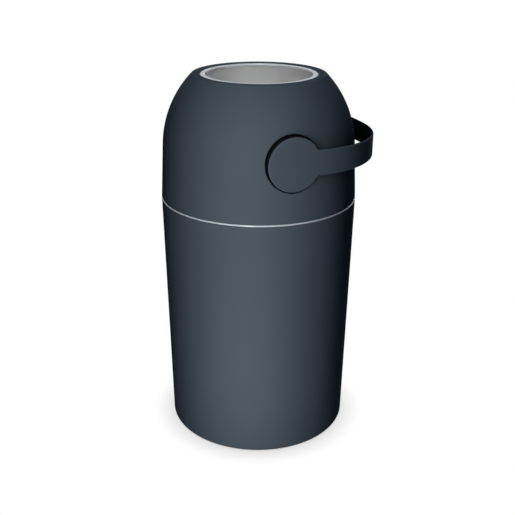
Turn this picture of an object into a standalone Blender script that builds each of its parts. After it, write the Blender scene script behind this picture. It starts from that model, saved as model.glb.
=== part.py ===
"""Nappy bin with a turning drum, as separate pieces in metres, with +Z up.

The origin is the centre of the underside. A nappy goes into the well of a round drum in the head.
The handle turns the drum over about the X axis, the nappy drops into the bag below, and a weighted
piston slides down the well, so the drum is ready to be used again. The head opens on a hinge at +Y.
Each moving group hangs from an empty on its joint's axis.
"""

import math

import bmesh
import bpy
from mathutils import Matrix

# Gaps shared by the whole bin
CLEARANCE = 0.0003
OVERRUN = 0.003
MERGE_DISTANCE = 0.00001

# Round pieces: how many steps a full turn has
SHELL_STEPS = 48
WELL_STEPS = 32
SMALL_STEPS = 20
SCREW_STEPS = 8
ARC_STEPS = 4
KEY_CORNERS = 6

# Pieces whose many cuts lie so close that the exact solver leaves open edges
MANY_CUTS = ("head_shell", "drum_half", "piston_cup")

# Lower bin: a tapered tub, widest at its rim
BODY_HEIGHT = 0.3543
BODY_TOP_RADIUS = 0.140
BODY_TAPER = 0.0066
BODY_WALL = 0.0025
BODY_FLOOR = 0.003
BODY_BASE_ROUNDING = 0.0048

# Bag ring: a flange on the rim, a skirt that holds the bag to the wall, and a hem round the mouth
RING_FLANGE = 0.0024
RING_SET_BACK = 0.001
RING_SKIRT_HEIGHT = 0.0206
RING_SKIRT_WALL = 0.002
RING_SKIRT_GAP = 0.0005
RING_FLANGE_WIDTH = 0.028
RING_HEM_HEIGHT = 0.008
RING_HEM_WALL = 0.0022

# Head: a slightly tapered wall almost up to the drum's axis, then a dome with one radius
HEAD_SET_BACK = 0.0001
HEAD_TAPER = 0.004
HEAD_WALL_HEIGHT = 0.0767
HEAD_WALL = 0.0025
AXIS_RISE = 0.0015
DOME_EASE = 0.0102
RIM_THICKNESS = 0.003
RIM_ROUNDING = 0.0016

# Drum: a ball with flat ends and a well through it, moulded as two halves
DRUM_ROOM = 0.0097
DRUM_WALL = 0.0022
DRUM_END_DROP = 0.0006
DRUM_MOUTH_GAP = 0.001
RIM_WIDTH = 0.0075
WELL_SURROUND = 0.06674
WELL_LIP = 0.0023
WELL_LIP_THICKNESS = 0.0025
TUBE_SEAT = 0.006

# Handle: a band that ends in a disc on each side
DISC_RADIUS = 0.037
DISC_ROUNDING = 0.0014
DISC_SKIRT = 0.0025
HANDLE_THICKNESS = 0.004
HANDLE_EDGE = 0.0007
HANDLE_GRIP_GAP = 0.0196
HANDLE_NECK_HEIGHT = 0.0346
HANDLE_TIP_HEIGHT = 0.0308
HANDLE_NECK_FILLET = 0.005
HANDLE_STRAIGHT = 0.025
HANDLE_CURVE_POWER = 2.2
HANDLE_CURVE_STEPS = 20
HANDLE_FILLET_STEPS = 3
HANDLE_ROOT_SHARES = (0.45, 0.75)

# Pockets in the head that the discs sit in, with the stops of the handle
POCKET_GAP = 0.003
POCKET_DEPTH = 0.0099
DISC_FLOOR_GAP = 0.001
STOP_INNER_SHARE = 0.70
STOP_OUTER_SHARE = 0.82
STOP_LUG_HALF_WIDTH = 0.004
STOP_OVERLAP = 0.0035

# Bearings of the drum: bush, hub, screw and captive nut on each side
JOURNAL_RADIUS = 0.014
BUSH_WALL = 0.0024
BUSH_FLANGE = 0.0013
COLLAR_WALL = 0.003
COLLAR_HEIGHT = 0.0039
HUB_COLLAR = 0.0033
HUB_COLLAR_RIM = 0.004
HUB_KEY_LENGTH = 0.018
HUB_KEY_SHARE = 0.78
HUB_NECK_SHARE = 0.77
HUB_NECK = 0.0014
HUB_DOG = 0.0026
HUB_DOG_SHARE = 0.914
CLAW_COLLAR_WALL = 0.0035
CLAW_LIP = 0.0009
CLAW_LIP_SHARE = 0.807
HUB_BOSS_WALL = 0.005
HUB_SCREW_RADIUS = 0.0019
HUB_SCREW_HEAD_RADIUS = 0.0038
HUB_SCREW_HEAD = 0.0026
HUB_NUT_RADIUS = 0.0041
HUB_NUT_THICKNESS = 0.0032
HUB_NUT_SETBACK = 0.003
HUB_SCREW_TAIL = 0.0012

# Piston: two cups with a steel weight between them and a wiper ring round them
PISTON_HEIGHT = 0.026
PISTON_PLATE = 0.002
PISTON_RIM = 0.0025
PISTON_SIDE_GAP = 0.0006
WIPER_HEIGHT = 0.003
WIPER_WIDTH = 0.0052
WIPER_SIDE_GAP = 0.0003
WEIGHT_THICKNESS = 0.006
PISTON_BOSS_RADIUS = 0.0045
PISTON_BOSS_GAP = 0.0009
PISTON_SCREWS = 3
PISTON_SCREW_SINK = 0.004

# Frame under the head: it carries the lower seal, the hinge knuckles and the striker
FRAME_THICKNESS = 0.003
FRAME_SIDE_GAP = 0.0005
FRAME_MOUTH_GAP = 0.0025
FRAME_RIDGE_WIDTH = 0.002
FRAME_RIDGE_HEIGHT = 0.0023
FRAME_SCREWS = 6
FRAME_BOSS_RADIUS = 0.0042
FRAME_BOSS_HEIGHT = 0.0197
FRAME_BOSS_INSET = 0.0039
SEAL_GAP = 0.0005
CHUTE_SEAL_WIDTH = 0.0078
CHUTE_SEAL_HEIGHT = 0.004
UPPER_SEAL_HEIGHT = 0.0055

# Small screws: those of the frame, the piston and the hinge bracket
SCREW_RADIUS = 0.0012
SCREW_HEAD_RADIUS = 0.0032
SCREW_HEAD = 0.0018
SCREW_BITE = 0.009

# Hinge at the back, set into the wall
HINGE_INSET = 0.003
HINGE_HALF_WIDTH = 0.026
HINGE_SIDE_GAP = 0.001
KNUCKLE_RADIUS = 0.0042
KNUCKLE_GAP = 0.0005
KNUCKLE_ROOM = 0.001
KNUCKLE_EDGE_SHARES = (0.0, 0.19, 0.64, 1.0)
HINGE_PIN_RADIUS = 0.0016
HINGE_WEB = 0.005
SADDLE_THICKNESS = 0.003
SADDLE_ROOM = 0.0009
BRACKET_PLATE = 0.0033
BRACKET_HEIGHT = 0.0257
BRACKET_PAD = 0.006
BRACKET_SCREW_SHARE = 0.58
STOP_SHELF_HALF_WIDTH = 0.015
STOP_SHELF_REACH = 0.008
STOP_SHELF_THICKNESS = 0.0027
STOP_SHELF_DROP = 0.0011

# Catch at the front: a leaf spring in the bin and a striker on the frame
STRIKER_HALF_WIDTH = 0.006
STRIKER_THICKNESS = 0.0022
STRIKER_LENGTH = 0.0185
STRIKER_BAR = 0.0035
STRIKER_WINDOW_HEIGHT = 0.0054
STRIKER_WINDOW_SHARE = 0.7
STRIKER_SLOT_GAP = 0.001
LEAF_HALF_WIDTH = 0.0035
LEAF_THICKNESS = 0.0008
LEAF_WALL_GAP = 0.0004
LEAF_STRIKER_GAP = 0.0006
LEAF_NOSE = 0.0023
LEAF_NOSE_RISE = 0.0021
LEAF_TIP = 0.0014
LEAF_FOOT = 0.011
LEAF_POCKET_WALL = 0.0025
LEAF_POCKET_DROP = 0.017

# Radii that follow from the rim of the lower bin
BODY_BASE_RADIUS = BODY_TOP_RADIUS - BODY_TAPER
RING_MOUTH_RADIUS = BODY_TOP_RADIUS - RING_FLANGE_WIDTH
HEAD_BASE_RADIUS = BODY_TOP_RADIUS - HEAD_SET_BACK
HEAD_SHOULDER_RADIUS = HEAD_BASE_RADIUS - HEAD_TAPER
DOME_RADIUS = HEAD_SHOULDER_RADIUS + DOME_EASE

# Radii of the drum about its own centre: its ends lie where the ball is as wide as the well's rim
WELL_LIP_RADIUS = BODY_TOP_RADIUS - WELL_SURROUND
DRUM_RADIUS = HEAD_SHOULDER_RADIUS - HEAD_WALL - DRUM_ROOM
DRUM_RIM_RADIUS = WELL_LIP_RADIUS + RIM_WIDTH
DRUM_END = math.sqrt(DRUM_RADIUS**2 - DRUM_RIM_RADIUS**2)
DOME_HEIGHT = DRUM_END + DRUM_END_DROP
WELL_RADIUS = WELL_LIP_RADIUS + WELL_LIP
WELL_FLOOR = DRUM_END - WELL_LIP_THICKNESS
PISTON_BOTTOM = -WELL_FLOOR + CLEARANCE
PISTON_TOP = PISTON_BOTTOM + PISTON_HEIGHT

# Heights, from the floor up
FLANGE_BOTTOM = BODY_HEIGHT + CLEARANCE
FLANGE_TOP = FLANGE_BOTTOM + RING_FLANGE
HEAD_BOTTOM = FLANGE_TOP + CLEARANCE
SHOULDER_HEIGHT = HEAD_BOTTOM + HEAD_WALL_HEIGHT
PIVOT_HEIGHT = SHOULDER_HEIGHT + AXIS_RISE
HEAD_TOP = PIVOT_HEIGHT + DOME_HEIGHT
HINGE_HEIGHT = FLANGE_BOTTOM + RING_FLANGE / 2
HINGE_BACK = BODY_TOP_RADIUS - HINGE_INSET
FRAME_BOTTOM = HINGE_HEIGHT + KNUCKLE_RADIUS + KNUCKLE_ROOM
FRAME_TOP = FRAME_BOTTOM + FRAME_THICKNESS
SADDLE_TOP = HINGE_HEIGHT - KNUCKLE_RADIUS - SADDLE_ROOM
SADDLE_BOTTOM = SADDLE_TOP - SADDLE_THICKNESS
NOTCH_FLOOR = SADDLE_BOTTOM - CLEARANCE
NOTCH_HALF_WIDTH = HINGE_HALF_WIDTH + HINGE_SIDE_GAP

# Stations along the drum's axis, from the head's pocket outwards and inwards
POCKET_FLOOR = HEAD_SHOULDER_RADIUS - POCKET_DEPTH
POCKET_BACK = POCKET_FLOOR - HEAD_WALL
POCKET_RADIUS = DISC_RADIUS + POCKET_GAP
COLLAR_END = POCKET_FLOOR + COLLAR_HEIGHT
JOURNAL_END = COLLAR_END + CLEARANCE
DOG_START = JOURNAL_END + HUB_NECK
DOG_END = DOG_START + HUB_DOG
PLATE_BACK = DOG_END + CLEARANCE
DISC_FACE = PLATE_BACK + HANDLE_THICKNESS
BUSH_START = POCKET_BACK - CLEARANCE - BUSH_FLANGE
HUB_COLLAR_END = BUSH_START - CLEARANCE
HUB_COLLAR_START = HUB_COLLAR_END - HUB_COLLAR
DRUM_FLAT = HUB_COLLAR_START - CLEARANCE
KEY_START = DRUM_FLAT - HUB_KEY_LENGTH
NUT_END = KEY_START - HUB_NUT_SETBACK
NUT_START = NUT_END - HUB_NUT_THICKNESS
SCREW_END = NUT_START - HUB_SCREW_TAIL
BUSH_BORE_RADIUS = JOURNAL_RADIUS + CLEARANCE
BUSH_RADIUS = BUSH_BORE_RADIUS + BUSH_WALL
COLLAR_BORE_RADIUS = BUSH_RADIUS + CLEARANCE
COLLAR_RADIUS = COLLAR_BORE_RADIUS + COLLAR_WALL

# Farthest point of the handle
HANDLE_REACH = HEAD_SHOULDER_RADIUS + HANDLE_GRIP_GAP + HANDLE_THICKNESS


def body_radius(height):
    """Outer radius of the lower bin at a height."""
    return BODY_BASE_RADIUS + (BODY_TOP_RADIUS - BODY_BASE_RADIUS) * height / BODY_HEIGHT


def body_bore(height):
    """Inner radius of the lower bin at a height."""
    return body_radius(height) - BODY_WALL


def head_radius(height):
    """Outer radius of the head's straight wall at a height above the floor."""
    share = (height - HEAD_BOTTOM) / HEAD_WALL_HEIGHT
    return HEAD_BASE_RADIUS + (HEAD_SHOULDER_RADIUS - HEAD_BASE_RADIUS) * share


def ball_radius(ball, height):
    """Radius of the circle in which a ball about the pivot is cut at a height from its centre."""
    return math.sqrt(ball**2 - height**2)


def arc(centre, radius, start, end, steps):
    """Points along an arc in the (radius, height) plane, both ends included."""
    angles = [start + (end - start) * i / steps for i in range(steps + 1)]
    return [(centre[0] + radius * math.cos(a), centre[1] + radius * math.sin(a)) for a in angles]


def dome(offset, height):
    """The dome's profile, moved inwards by offset, from the shoulder up to a height above the pivot."""
    tilt = math.atan2(HEAD_BASE_RADIUS - HEAD_SHOULDER_RADIUS, HEAD_WALL_HEIGHT)
    centre = (
        HEAD_SHOULDER_RADIUS - DOME_RADIUS * math.cos(tilt),
        SHOULDER_HEIGHT - DOME_RADIUS * math.sin(tilt),
    )
    radius = DOME_RADIUS - offset
    end = math.asin((PIVOT_HEIGHT + height - centre[1]) / radius)
    return arc(centre, radius, tilt, end, 2 * ARC_STEPS)


# Meshes


def spun(outline, steps):
    """A solid turned about Z from an outline of (radius, height) points, listed in order."""
    bm = bmesh.new()
    points = [bm.verts.new((radius, 0.0, height)) for radius, height in outline]
    pairs = zip(points, points[1:] + points[:1])
    edges = [bm.edges.new(pair) for pair in pairs if max(pair[0].co.x, pair[1].co.x) > 0.0]
    bmesh.ops.spin(
        bm,
        geom=points + edges,
        axis=(0.0, 0.0, 1.0),
        cent=(0.0, 0.0, 0.0),
        angle=2 * math.pi,
        steps=steps,
        use_merge=True,
    )
    bmesh.ops.remove_doubles(bm, verts=bm.verts[:], dist=MERGE_DISTANCE)
    bmesh.ops.recalc_face_normals(bm, faces=bm.faces[:])
    return bm


def rod(radius, low, high, steps):
    """A cylinder or a prism on the Z axis, from low to high."""
    return spun([(0.0, low), (radius, low), (radius, high), (0.0, high)], steps)


def block(low, high):
    """A box between two corners."""
    bm = bmesh.new()
    size = [b - a for a, b in zip(low, high)]
    middle = [(a + b) / 2 for a, b in zip(low, high)]
    matrix = Matrix.Translation(middle) @ Matrix.Diagonal((*size, 1.0))
    bmesh.ops.create_cube(bm, size=1.0, matrix=matrix)
    return bm


def sheared(outline, low, high):
    """A solid with an outline of (y, z) points, extruded along X from low to high."""
    bm = bmesh.new()
    points = [bm.verts.new((low, y, z)) for y, z in outline]
    face = bm.faces.new(points)
    extruded = bmesh.ops.extrude_face_region(bm, geom=[face])["geom"]
    verts = [item for item in extruded if isinstance(item, bmesh.types.BMVert)]
    bmesh.ops.translate(bm, verts=verts, vec=(high - low, 0.0, 0.0))
    bmesh.ops.recalc_face_normals(bm, faces=bm.faces[:])
    return bm


def lofted(sections):
    """A solid carried through closed sections, each a list of points in the same order."""
    bm = bmesh.new()
    loops = [[bm.verts.new(point) for point in section] for section in sections]
    for near, far in zip(loops, loops[1:]):
        for i, vert in enumerate(near):
            j = (i + 1) % len(near)
            bm.faces.new((vert, near[j], far[j], far[i]))
    bm.faces.new(loops[0])
    bm.faces.new(loops[-1])
    bmesh.ops.recalc_face_normals(bm, faces=bm.faces[:])
    return bm


def moved(bm, matrix):
    """The same mesh, moved by a matrix."""
    bmesh.ops.transform(bm, matrix=matrix, verts=bm.verts[:])
    return bm


def grouped(parts):
    """Several meshes in one, as separate solids."""
    whole = bmesh.new()
    for bm in parts:
        mesh = bpy.data.meshes.new("part")
        bm.to_mesh(mesh)
        bm.free()
        whole.from_mesh(mesh)
        bpy.data.meshes.remove(mesh)
    return whole


def along_x(side):
    """Turns the Z axis to point out of the bin on one side: 1 for +X, -1 for -X."""
    return Matrix.Rotation(side * math.pi / 2, 4, "Y")


def both_sides(make):
    """The same piece on both ends of the drum's axis, as separate solids."""
    return grouped([moved(make(), along_x(side)) for side in (1, -1)])


def ring_places(count, radius, height):
    """Places on a circle, evenly spaced from +X."""
    angles = [2 * math.pi * i / count for i in range(count)]
    return [
        Matrix.Translation((radius * math.cos(a), radius * math.sin(a), height)) for a in angles
    ]


# Objects


def material(name, colour, roughness, metallic=0.0):
    """A plain surface with one colour."""
    made = bpy.data.materials.new(name)
    made.use_nodes = True
    shader = made.node_tree.nodes["Principled BSDF"]
    shader.inputs["Base Color"].default_value = (*colour, 1.0)
    shader.inputs["Roughness"].default_value = roughness
    shader.inputs["Metallic"].default_value = metallic
    return made


def empty(name, parent=None, location=(0.0, 0.0, 0.0)):
    """An empty that carries a moving group."""
    made = bpy.data.objects.new(name, None)
    bpy.context.scene.collection.objects.link(made)
    made.parent = parent
    made.location = location
    return made


def piece(name, bm, surface, parent, smooth=True):
    """A named object with its own material, hung from an empty."""
    mesh = bpy.data.meshes.new(name)
    bm.to_mesh(mesh)
    bm.free()
    if smooth:
        mesh.shade_smooth()
        mesh.set_sharp_from_angle(angle=math.radians(30.0))
    made = bpy.data.objects.new(name, mesh)
    bpy.context.scene.collection.objects.link(made)
    made.parent = parent
    if surface:
        made.data.materials.append(surface)
    return made


def copies(name, bm, surface, parent, places):
    """Numbered objects that share one mesh, each set at its own place."""
    first = piece(f"{name}_1", bm, surface, parent)
    first.matrix_local = places[0]
    for number, place in enumerate(places[1:], start=2):
        made = bpy.data.objects.new(f"{name}_{number}", first.data)
        bpy.context.scene.collection.objects.link(made)
        made.parent = parent
        made.matrix_local = place


def boolean(target, name, bm, operation, parent=None):
    """Cuts a tool shape out of a piece, or joins it to the piece."""
    tool = piece(name, bm, None, parent or target.parent, smooth=False)
    tool.hide_render = True
    tool.display_type = "WIRE"
    modifier = target.modifiers.new(name, "BOOLEAN")
    modifier.object = tool
    modifier.operation = operation
    modifier.solver = "MANIFOLD" if target.name.startswith(MANY_CUTS) else "EXACT"
    return tool


def cut(target, name, bm, parent=None):
    """Takes a shape out of a piece."""
    return boolean(target, name, bm, "DIFFERENCE", parent)


def fuse(target, name, bm, parent=None):
    """Makes a shape one with a piece."""
    return boolean(target, name, bm, "UNION", parent)


def screw(head_radius, head, shank_radius, length):
    """A pan head screw on Z: the head's underside is at zero and the shank points up."""
    rounding = head / 3
    return spun(
        [
            (0.0, -head),
            (head_radius - rounding, -head),
            (head_radius, -head + rounding),
            (head_radius, 0.0),
            (shank_radius, 0.0),
            (shank_radius, length),
            (0.0, length),
        ],
        SCREW_STEPS,
    )


# Lower bin


def striker_face():
    """Distance from the bin's axis to the side of the striker that faces the leaf spring."""
    leaf_back = body_bore(FLANGE_BOTTOM - LEAF_POCKET_DROP) - LEAF_WALL_GAP
    return leaf_back - LEAF_THICKNESS - LEAF_STRIKER_GAP


def bin_body(surface, parent):
    """Tub with a rounded foot, a notch for the hinge, and pads for its bracket and the catch."""
    inner_foot = (body_bore(BODY_FLOOR), BODY_FLOOR)
    foot_centre = (body_radius(BODY_BASE_ROUNDING) - BODY_BASE_ROUNDING, BODY_BASE_ROUNDING)
    outline = [(0.0, 0.0)]
    outline += arc(foot_centre, BODY_BASE_ROUNDING, -math.pi / 2, 0.0, ARC_STEPS // 2)
    outline += [
        (BODY_TOP_RADIUS, BODY_HEIGHT),
        (BODY_TOP_RADIUS - BODY_WALL, BODY_HEIGHT),
        inner_foot,
        (0.0, BODY_FLOOR),
    ]
    tub = piece("bin_body", spun(outline, SHELL_STEPS), surface, parent)

    pad_face = HINGE_BACK - BRACKET_PAD
    pad_low = SADDLE_TOP - BRACKET_HEIGHT
    in_wall = body_radius(pad_low) * math.cos(math.pi / SHELL_STEPS) - BODY_WALL / 2
    pad_side = HINGE_HALF_WIDTH - HINGE_SIDE_GAP
    reach = math.asin(pad_side / in_wall)
    plan = arc((0.0, 0.0), in_wall, math.pi / 2 - reach, math.pi / 2 + reach, 2 * ARC_STEPS)
    plan += [(-pad_side, pad_face), (pad_side, pad_face)]
    pad = lofted([[(x, y, z) for x, y in plan] for z in (pad_low, NOTCH_FLOOR)])
    fuse(tub, "bracket_pad", pad)
    cut(
        tub,
        "hinge_notch",
        block(
            (-NOTCH_HALF_WIDTH, pad_face - OVERRUN, NOTCH_FLOOR),
            (NOTCH_HALF_WIDTH, BODY_TOP_RADIUS + OVERRUN, BODY_HEIGHT + OVERRUN),
        ),
    )
    cut(tub, "bracket_screw_holes", bracket_screw_shapes(SCREW_RADIUS + CLEARANCE))

    pocket_top = FLANGE_BOTTOM - LEAF_POCKET_DROP - RING_SKIRT_HEIGHT / 2
    pocket_low = pocket_top - LEAF_FOOT - BODY_WALL
    leaf_back = body_bore(FLANGE_BOTTOM - LEAF_POCKET_DROP) - LEAF_WALL_GAP
    pocket_face = leaf_back - LEAF_THICKNESS - CLEARANCE - LEAF_POCKET_WALL
    pocket_side = LEAF_HALF_WIDTH + LEAF_POCKET_WALL
    wall_middle = body_radius(pocket_low) - BODY_WALL / 2
    fuse(
        tub,
        "leaf_pocket",
        block((-pocket_side, -wall_middle, pocket_low), (pocket_side, -pocket_face, pocket_top)),
    )
    slot_side = LEAF_HALF_WIDTH + CLEARANCE
    cut(
        tub,
        "leaf_slot",
        block(
            (-slot_side, -leaf_back - CLEARANCE, pocket_top - LEAF_FOOT),
            (slot_side, -pocket_face - LEAF_POCKET_WALL, pocket_top + OVERRUN),
        ),
    )
    return tub


def bag_ring(surface, parent):
    """Flange, skirt and hem in one, open at the hinge and at the catch."""
    skirt_bottom = FLANGE_BOTTOM - RING_SKIRT_HEIGHT
    skirt_radius = body_bore(skirt_bottom) - RING_SKIRT_GAP
    hem_radius = RING_MOUTH_RADIUS + RING_HEM_WALL
    hem_bottom = FLANGE_BOTTOM - RING_HEM_HEIGHT
    flange_radius = BODY_TOP_RADIUS - RING_SET_BACK
    outline = [
        (RING_MOUTH_RADIUS, hem_bottom),
        (hem_radius, hem_bottom),
        (hem_radius, FLANGE_BOTTOM),
        (skirt_radius - RING_SKIRT_WALL, FLANGE_BOTTOM),
        (skirt_radius - RING_SKIRT_WALL, skirt_bottom),
        (skirt_radius, skirt_bottom),
        (skirt_radius, FLANGE_BOTTOM),
        (flange_radius, FLANGE_BOTTOM),
        (flange_radius, FLANGE_TOP),
        (RING_MOUTH_RADIUS, FLANGE_TOP),
    ]
    ring = piece("bag_ring", spun(outline, SHELL_STEPS), surface, parent)
    knuckle_face = HINGE_BACK - KNUCKLE_RADIUS - KNUCKLE_ROOM
    bracket_face = HINGE_BACK - BRACKET_PAD - CLEARANCE - BRACKET_PLATE
    low = skirt_bottom - OVERRUN
    cut(
        ring,
        "ring_hinge_notch",
        block(
            (-NOTCH_HALF_WIDTH, knuckle_face, low),
            (NOTCH_HALF_WIDTH, BODY_TOP_RADIUS + OVERRUN, FLANGE_TOP + OVERRUN),
        ),
    )
    cut(
        ring,
        "ring_bracket_notch",
        block(
            (-NOTCH_HALF_WIDTH, bracket_face - CLEARANCE, low),
            (NOTCH_HALF_WIDTH, BODY_TOP_RADIUS + OVERRUN, FLANGE_BOTTOM + CLEARANCE),
        ),
    )
    slot_side = STRIKER_HALF_WIDTH + STRIKER_SLOT_GAP
    slot_back = striker_face() + STRIKER_SLOT_GAP
    slot_front = striker_face() - STRIKER_THICKNESS - STRIKER_SLOT_GAP
    cut(
        ring,
        "ring_striker_slot",
        block((-slot_side, -slot_back, low), (slot_side, -slot_front, FLANGE_TOP + OVERRUN)),
    )
    cut(
        ring,
        "ring_catch_notch",
        block(
            (-slot_side, -BODY_TOP_RADIUS, low),
            (slot_side, -slot_front, FLANGE_BOTTOM + CLEARANCE),
        ),
    )
    return ring


def catch_spring(surface, parent):
    """Leaf spring whose foot sits in the pocket and whose nose snaps into the striker's window."""
    back = body_bore(FLANGE_BOTTOM - LEAF_POCKET_DROP) - LEAF_WALL_GAP
    front = back - LEAF_THICKNESS
    pocket_top = FLANGE_BOTTOM - LEAF_POCKET_DROP - RING_SKIRT_HEIGHT / 2
    foot = pocket_top - LEAF_FOOT + CLEARANCE
    nose = FRAME_BOTTOM - STRIKER_LENGTH + STRIKER_BAR + STRIKER_WINDOW_HEIGHT / 2
    top = nose + LEAF_NOSE_RISE + LEAF_TIP
    outline = [
        (-back, foot),
        (-front, foot),
        (-front, nose - LEAF_NOSE_RISE),
        (-front + LEAF_NOSE, nose),
        (-front, nose + LEAF_NOSE_RISE),
        (-front, top),
        (-back, top),
    ]
    leaf = sheared(outline, -LEAF_HALF_WIDTH, LEAF_HALF_WIDTH)
    return piece("catch_spring", leaf, surface, parent, smooth=False)


# Hinge


def knuckle_spans(bracket):
    """Where the knuckles lie along X: those of the bracket, or those of the head's frame."""
    edges = [share * HINGE_HALF_WIDTH for share in KNUCKLE_EDGE_SHARES]
    half_gap = KNUCKLE_GAP / 2
    if bracket:
        inner, outer = edges[1] + half_gap, edges[2] - half_gap
        return [(-outer, -inner), (inner, outer)]
    middle, inner = edges[1] - half_gap, edges[2] + half_gap
    return [(-edges[3], -inner), (-middle, middle), (inner, edges[3])]


def knuckle(span, web_low, web_high, web_end):
    """A hinge knuckle on its web, which runs to a height above or below the hinge's axis.

    The web's faces lie at web_low and web_high from the axis, along Y.
    """
    up = math.copysign(1.0, web_end - HINGE_HEIGHT)
    start = math.acos(web_low / KNUCKLE_RADIUS)
    end = 2 * math.pi + math.acos(web_high / KNUCKLE_RADIUS)
    curve = arc((0.0, 0.0), KNUCKLE_RADIUS, start, end, 2 * ARC_STEPS)
    outline = [(HINGE_BACK + y, HINGE_HEIGHT + up * z) for y, z in curve]
    outline += [(HINGE_BACK + web_high, web_end), (HINGE_BACK + web_low, web_end)]
    return sheared(outline, *span)


def on_hinge_axis(radius, half_length):
    """A cylinder along the hinge's axis."""
    centre = Matrix.Translation((0.0, HINGE_BACK, HINGE_HEIGHT))
    return moved(rod(radius, -half_length, half_length, SMALL_STEPS // 2), centre @ along_x(1))


def pin_hole():
    """The bore through all the knuckles."""
    return on_hinge_axis(HINGE_PIN_RADIUS + CLEARANCE, HINGE_HALF_WIDTH + OVERRUN)


def hinge_pin(surface, parent):
    """Plain steel pin through the knuckles."""
    pin = on_hinge_axis(HINGE_PIN_RADIUS, HINGE_HALF_WIDTH)
    return piece("hinge_pin", pin, surface, parent)


def bracket_screw_places():
    """Where the bracket's screws go, with Z turned towards the wall."""
    side = BRACKET_SCREW_SHARE * HINGE_HALF_WIDTH
    face = HINGE_BACK - BRACKET_PAD - CLEARANCE - BRACKET_PLATE - CLEARANCE
    height = SADDLE_TOP - BRACKET_HEIGHT / 2
    turn = Matrix.Rotation(-math.pi / 2, 4, "X")
    return [Matrix.Translation((x, face, height)) @ turn for x in (-side, side)]


def bracket_screw_length():
    """Length of the bracket's screws under the head."""
    return BRACKET_PLATE + BRACKET_PAD * STOP_OUTER_SHARE


def bracket_screw_shapes(radius):
    """Bores for the bracket's screws, through the plate and into the pad."""
    bore = bracket_screw_length() + CLEARANCE
    return grouped(
        [
            moved(rod(radius, -OVERRUN / 2, bore, SCREW_STEPS), place)
            for place in bracket_screw_places()
        ]
    )


def bracket_screws(surface, parent):
    """Two screws that hold the bracket to its pad."""
    shape = screw(SCREW_HEAD_RADIUS, SCREW_HEAD, SCREW_RADIUS, bracket_screw_length())
    copies("bracket_screw", shape, surface, parent, bracket_screw_places())


def hinge_bracket(surface, parent):
    """Angle bracket inside the wall, with a saddle through the notch, knuckles and a stop shelf."""
    plate_back = HINGE_BACK - BRACKET_PAD - CLEARANCE
    plate_front = plate_back - BRACKET_PLATE
    shelf_back = HINGE_BACK + STOP_SHELF_REACH
    side = HINGE_HALF_WIDTH - HINGE_SIDE_GAP
    outline = [
        (plate_front, SADDLE_TOP - BRACKET_HEIGHT),
        (plate_back, SADDLE_TOP - BRACKET_HEIGHT),
        (plate_back, SADDLE_BOTTOM),
        (BODY_TOP_RADIUS, SADDLE_BOTTOM),
        (BODY_TOP_RADIUS, SADDLE_TOP),
        (plate_front, SADDLE_TOP),
    ]
    bracket = piece("hinge_bracket", sheared(outline, -side, side), surface, parent)
    shelf = [
        (BODY_TOP_RADIUS - HINGE_WEB / 2, SADDLE_BOTTOM),
        (shelf_back, SADDLE_BOTTOM),
        (shelf_back, HINGE_HEIGHT - STOP_SHELF_DROP),
        (shelf_back - STOP_SHELF_THICKNESS, HINGE_HEIGHT - STOP_SHELF_DROP),
        (shelf_back - STOP_SHELF_THICKNESS, SADDLE_TOP),
        (BODY_TOP_RADIUS - HINGE_WEB / 2, SADDLE_TOP),
    ]
    fuse(bracket, "stop_shelf", sheared(shelf, -STOP_SHELF_HALF_WIDTH, STOP_SHELF_HALF_WIDTH))
    half = HINGE_WEB / 2
    leaves = [
        knuckle(span, -half, half, SADDLE_TOP - SADDLE_THICKNESS / 2)
        for span in knuckle_spans(bracket=True)
    ]
    fuse(bracket, "bracket_knuckles", grouped(leaves))
    cut(bracket, "bracket_pin_hole", pin_hole())
    cut(bracket, "bracket_plate_holes", bracket_screw_shapes(SCREW_RADIUS + CLEARANCE))
    return bracket


# Head


def head_void():
    """The space inside the head: it follows the wall, narrows under the rim and opens at the mouth."""
    rim_low = DOME_HEIGHT - RIM_THICKNESS
    mouth_ball = DRUM_RADIUS + DRUM_MOUTH_GAP
    outline = [
        (0.0, HEAD_BOTTOM - OVERRUN),
        (head_radius(HEAD_BOTTOM - OVERRUN) - HEAD_WALL, HEAD_BOTTOM - OVERRUN),
    ]
    outline += dome(HEAD_WALL, rim_low)
    outline += [
        (ball_radius(mouth_ball, rim_low), PIVOT_HEIGHT + rim_low),
        (ball_radius(mouth_ball, DOME_HEIGHT), HEAD_TOP),
        (ball_radius(mouth_ball, DOME_HEIGHT), HEAD_TOP + OVERRUN),
        (0.0, HEAD_TOP + OVERRUN),
    ]
    return spun(outline, SHELL_STEPS)


def frame_boss_radius():
    """Distance from the bin's axis to the frame's screws."""
    return head_radius(FRAME_TOP) - HEAD_WALL - FRAME_BOSS_INSET


def stop_rib():
    """Curved rib in the lower half of a pocket, between the two ends of the handle's travel."""
    inner = STOP_INNER_SHARE * DISC_RADIUS
    outer = STOP_OUTER_SHARE * DISC_RADIUS
    floor = POCKET_FLOOR - HEAD_WALL / 2
    top = POCKET_FLOOR + DISC_FLOOR_GAP + STOP_OVERLAP
    half = math.pi / 2 - math.asin((STOP_LUG_HALF_WIDTH + CLEARANCE) / inner)
    steps = 2 * ARC_STEPS
    sections = []
    for angle in [half * (2 * i / steps - 1) for i in range(steps + 1)]:
        low, across = math.cos(angle), math.sin(angle)
        outline = [(inner, floor), (outer, floor), (outer, top), (inner, top)]
        sections.append([(x, r * across, -r * low) for r, x in outline])
    return lofted(sections)


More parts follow.
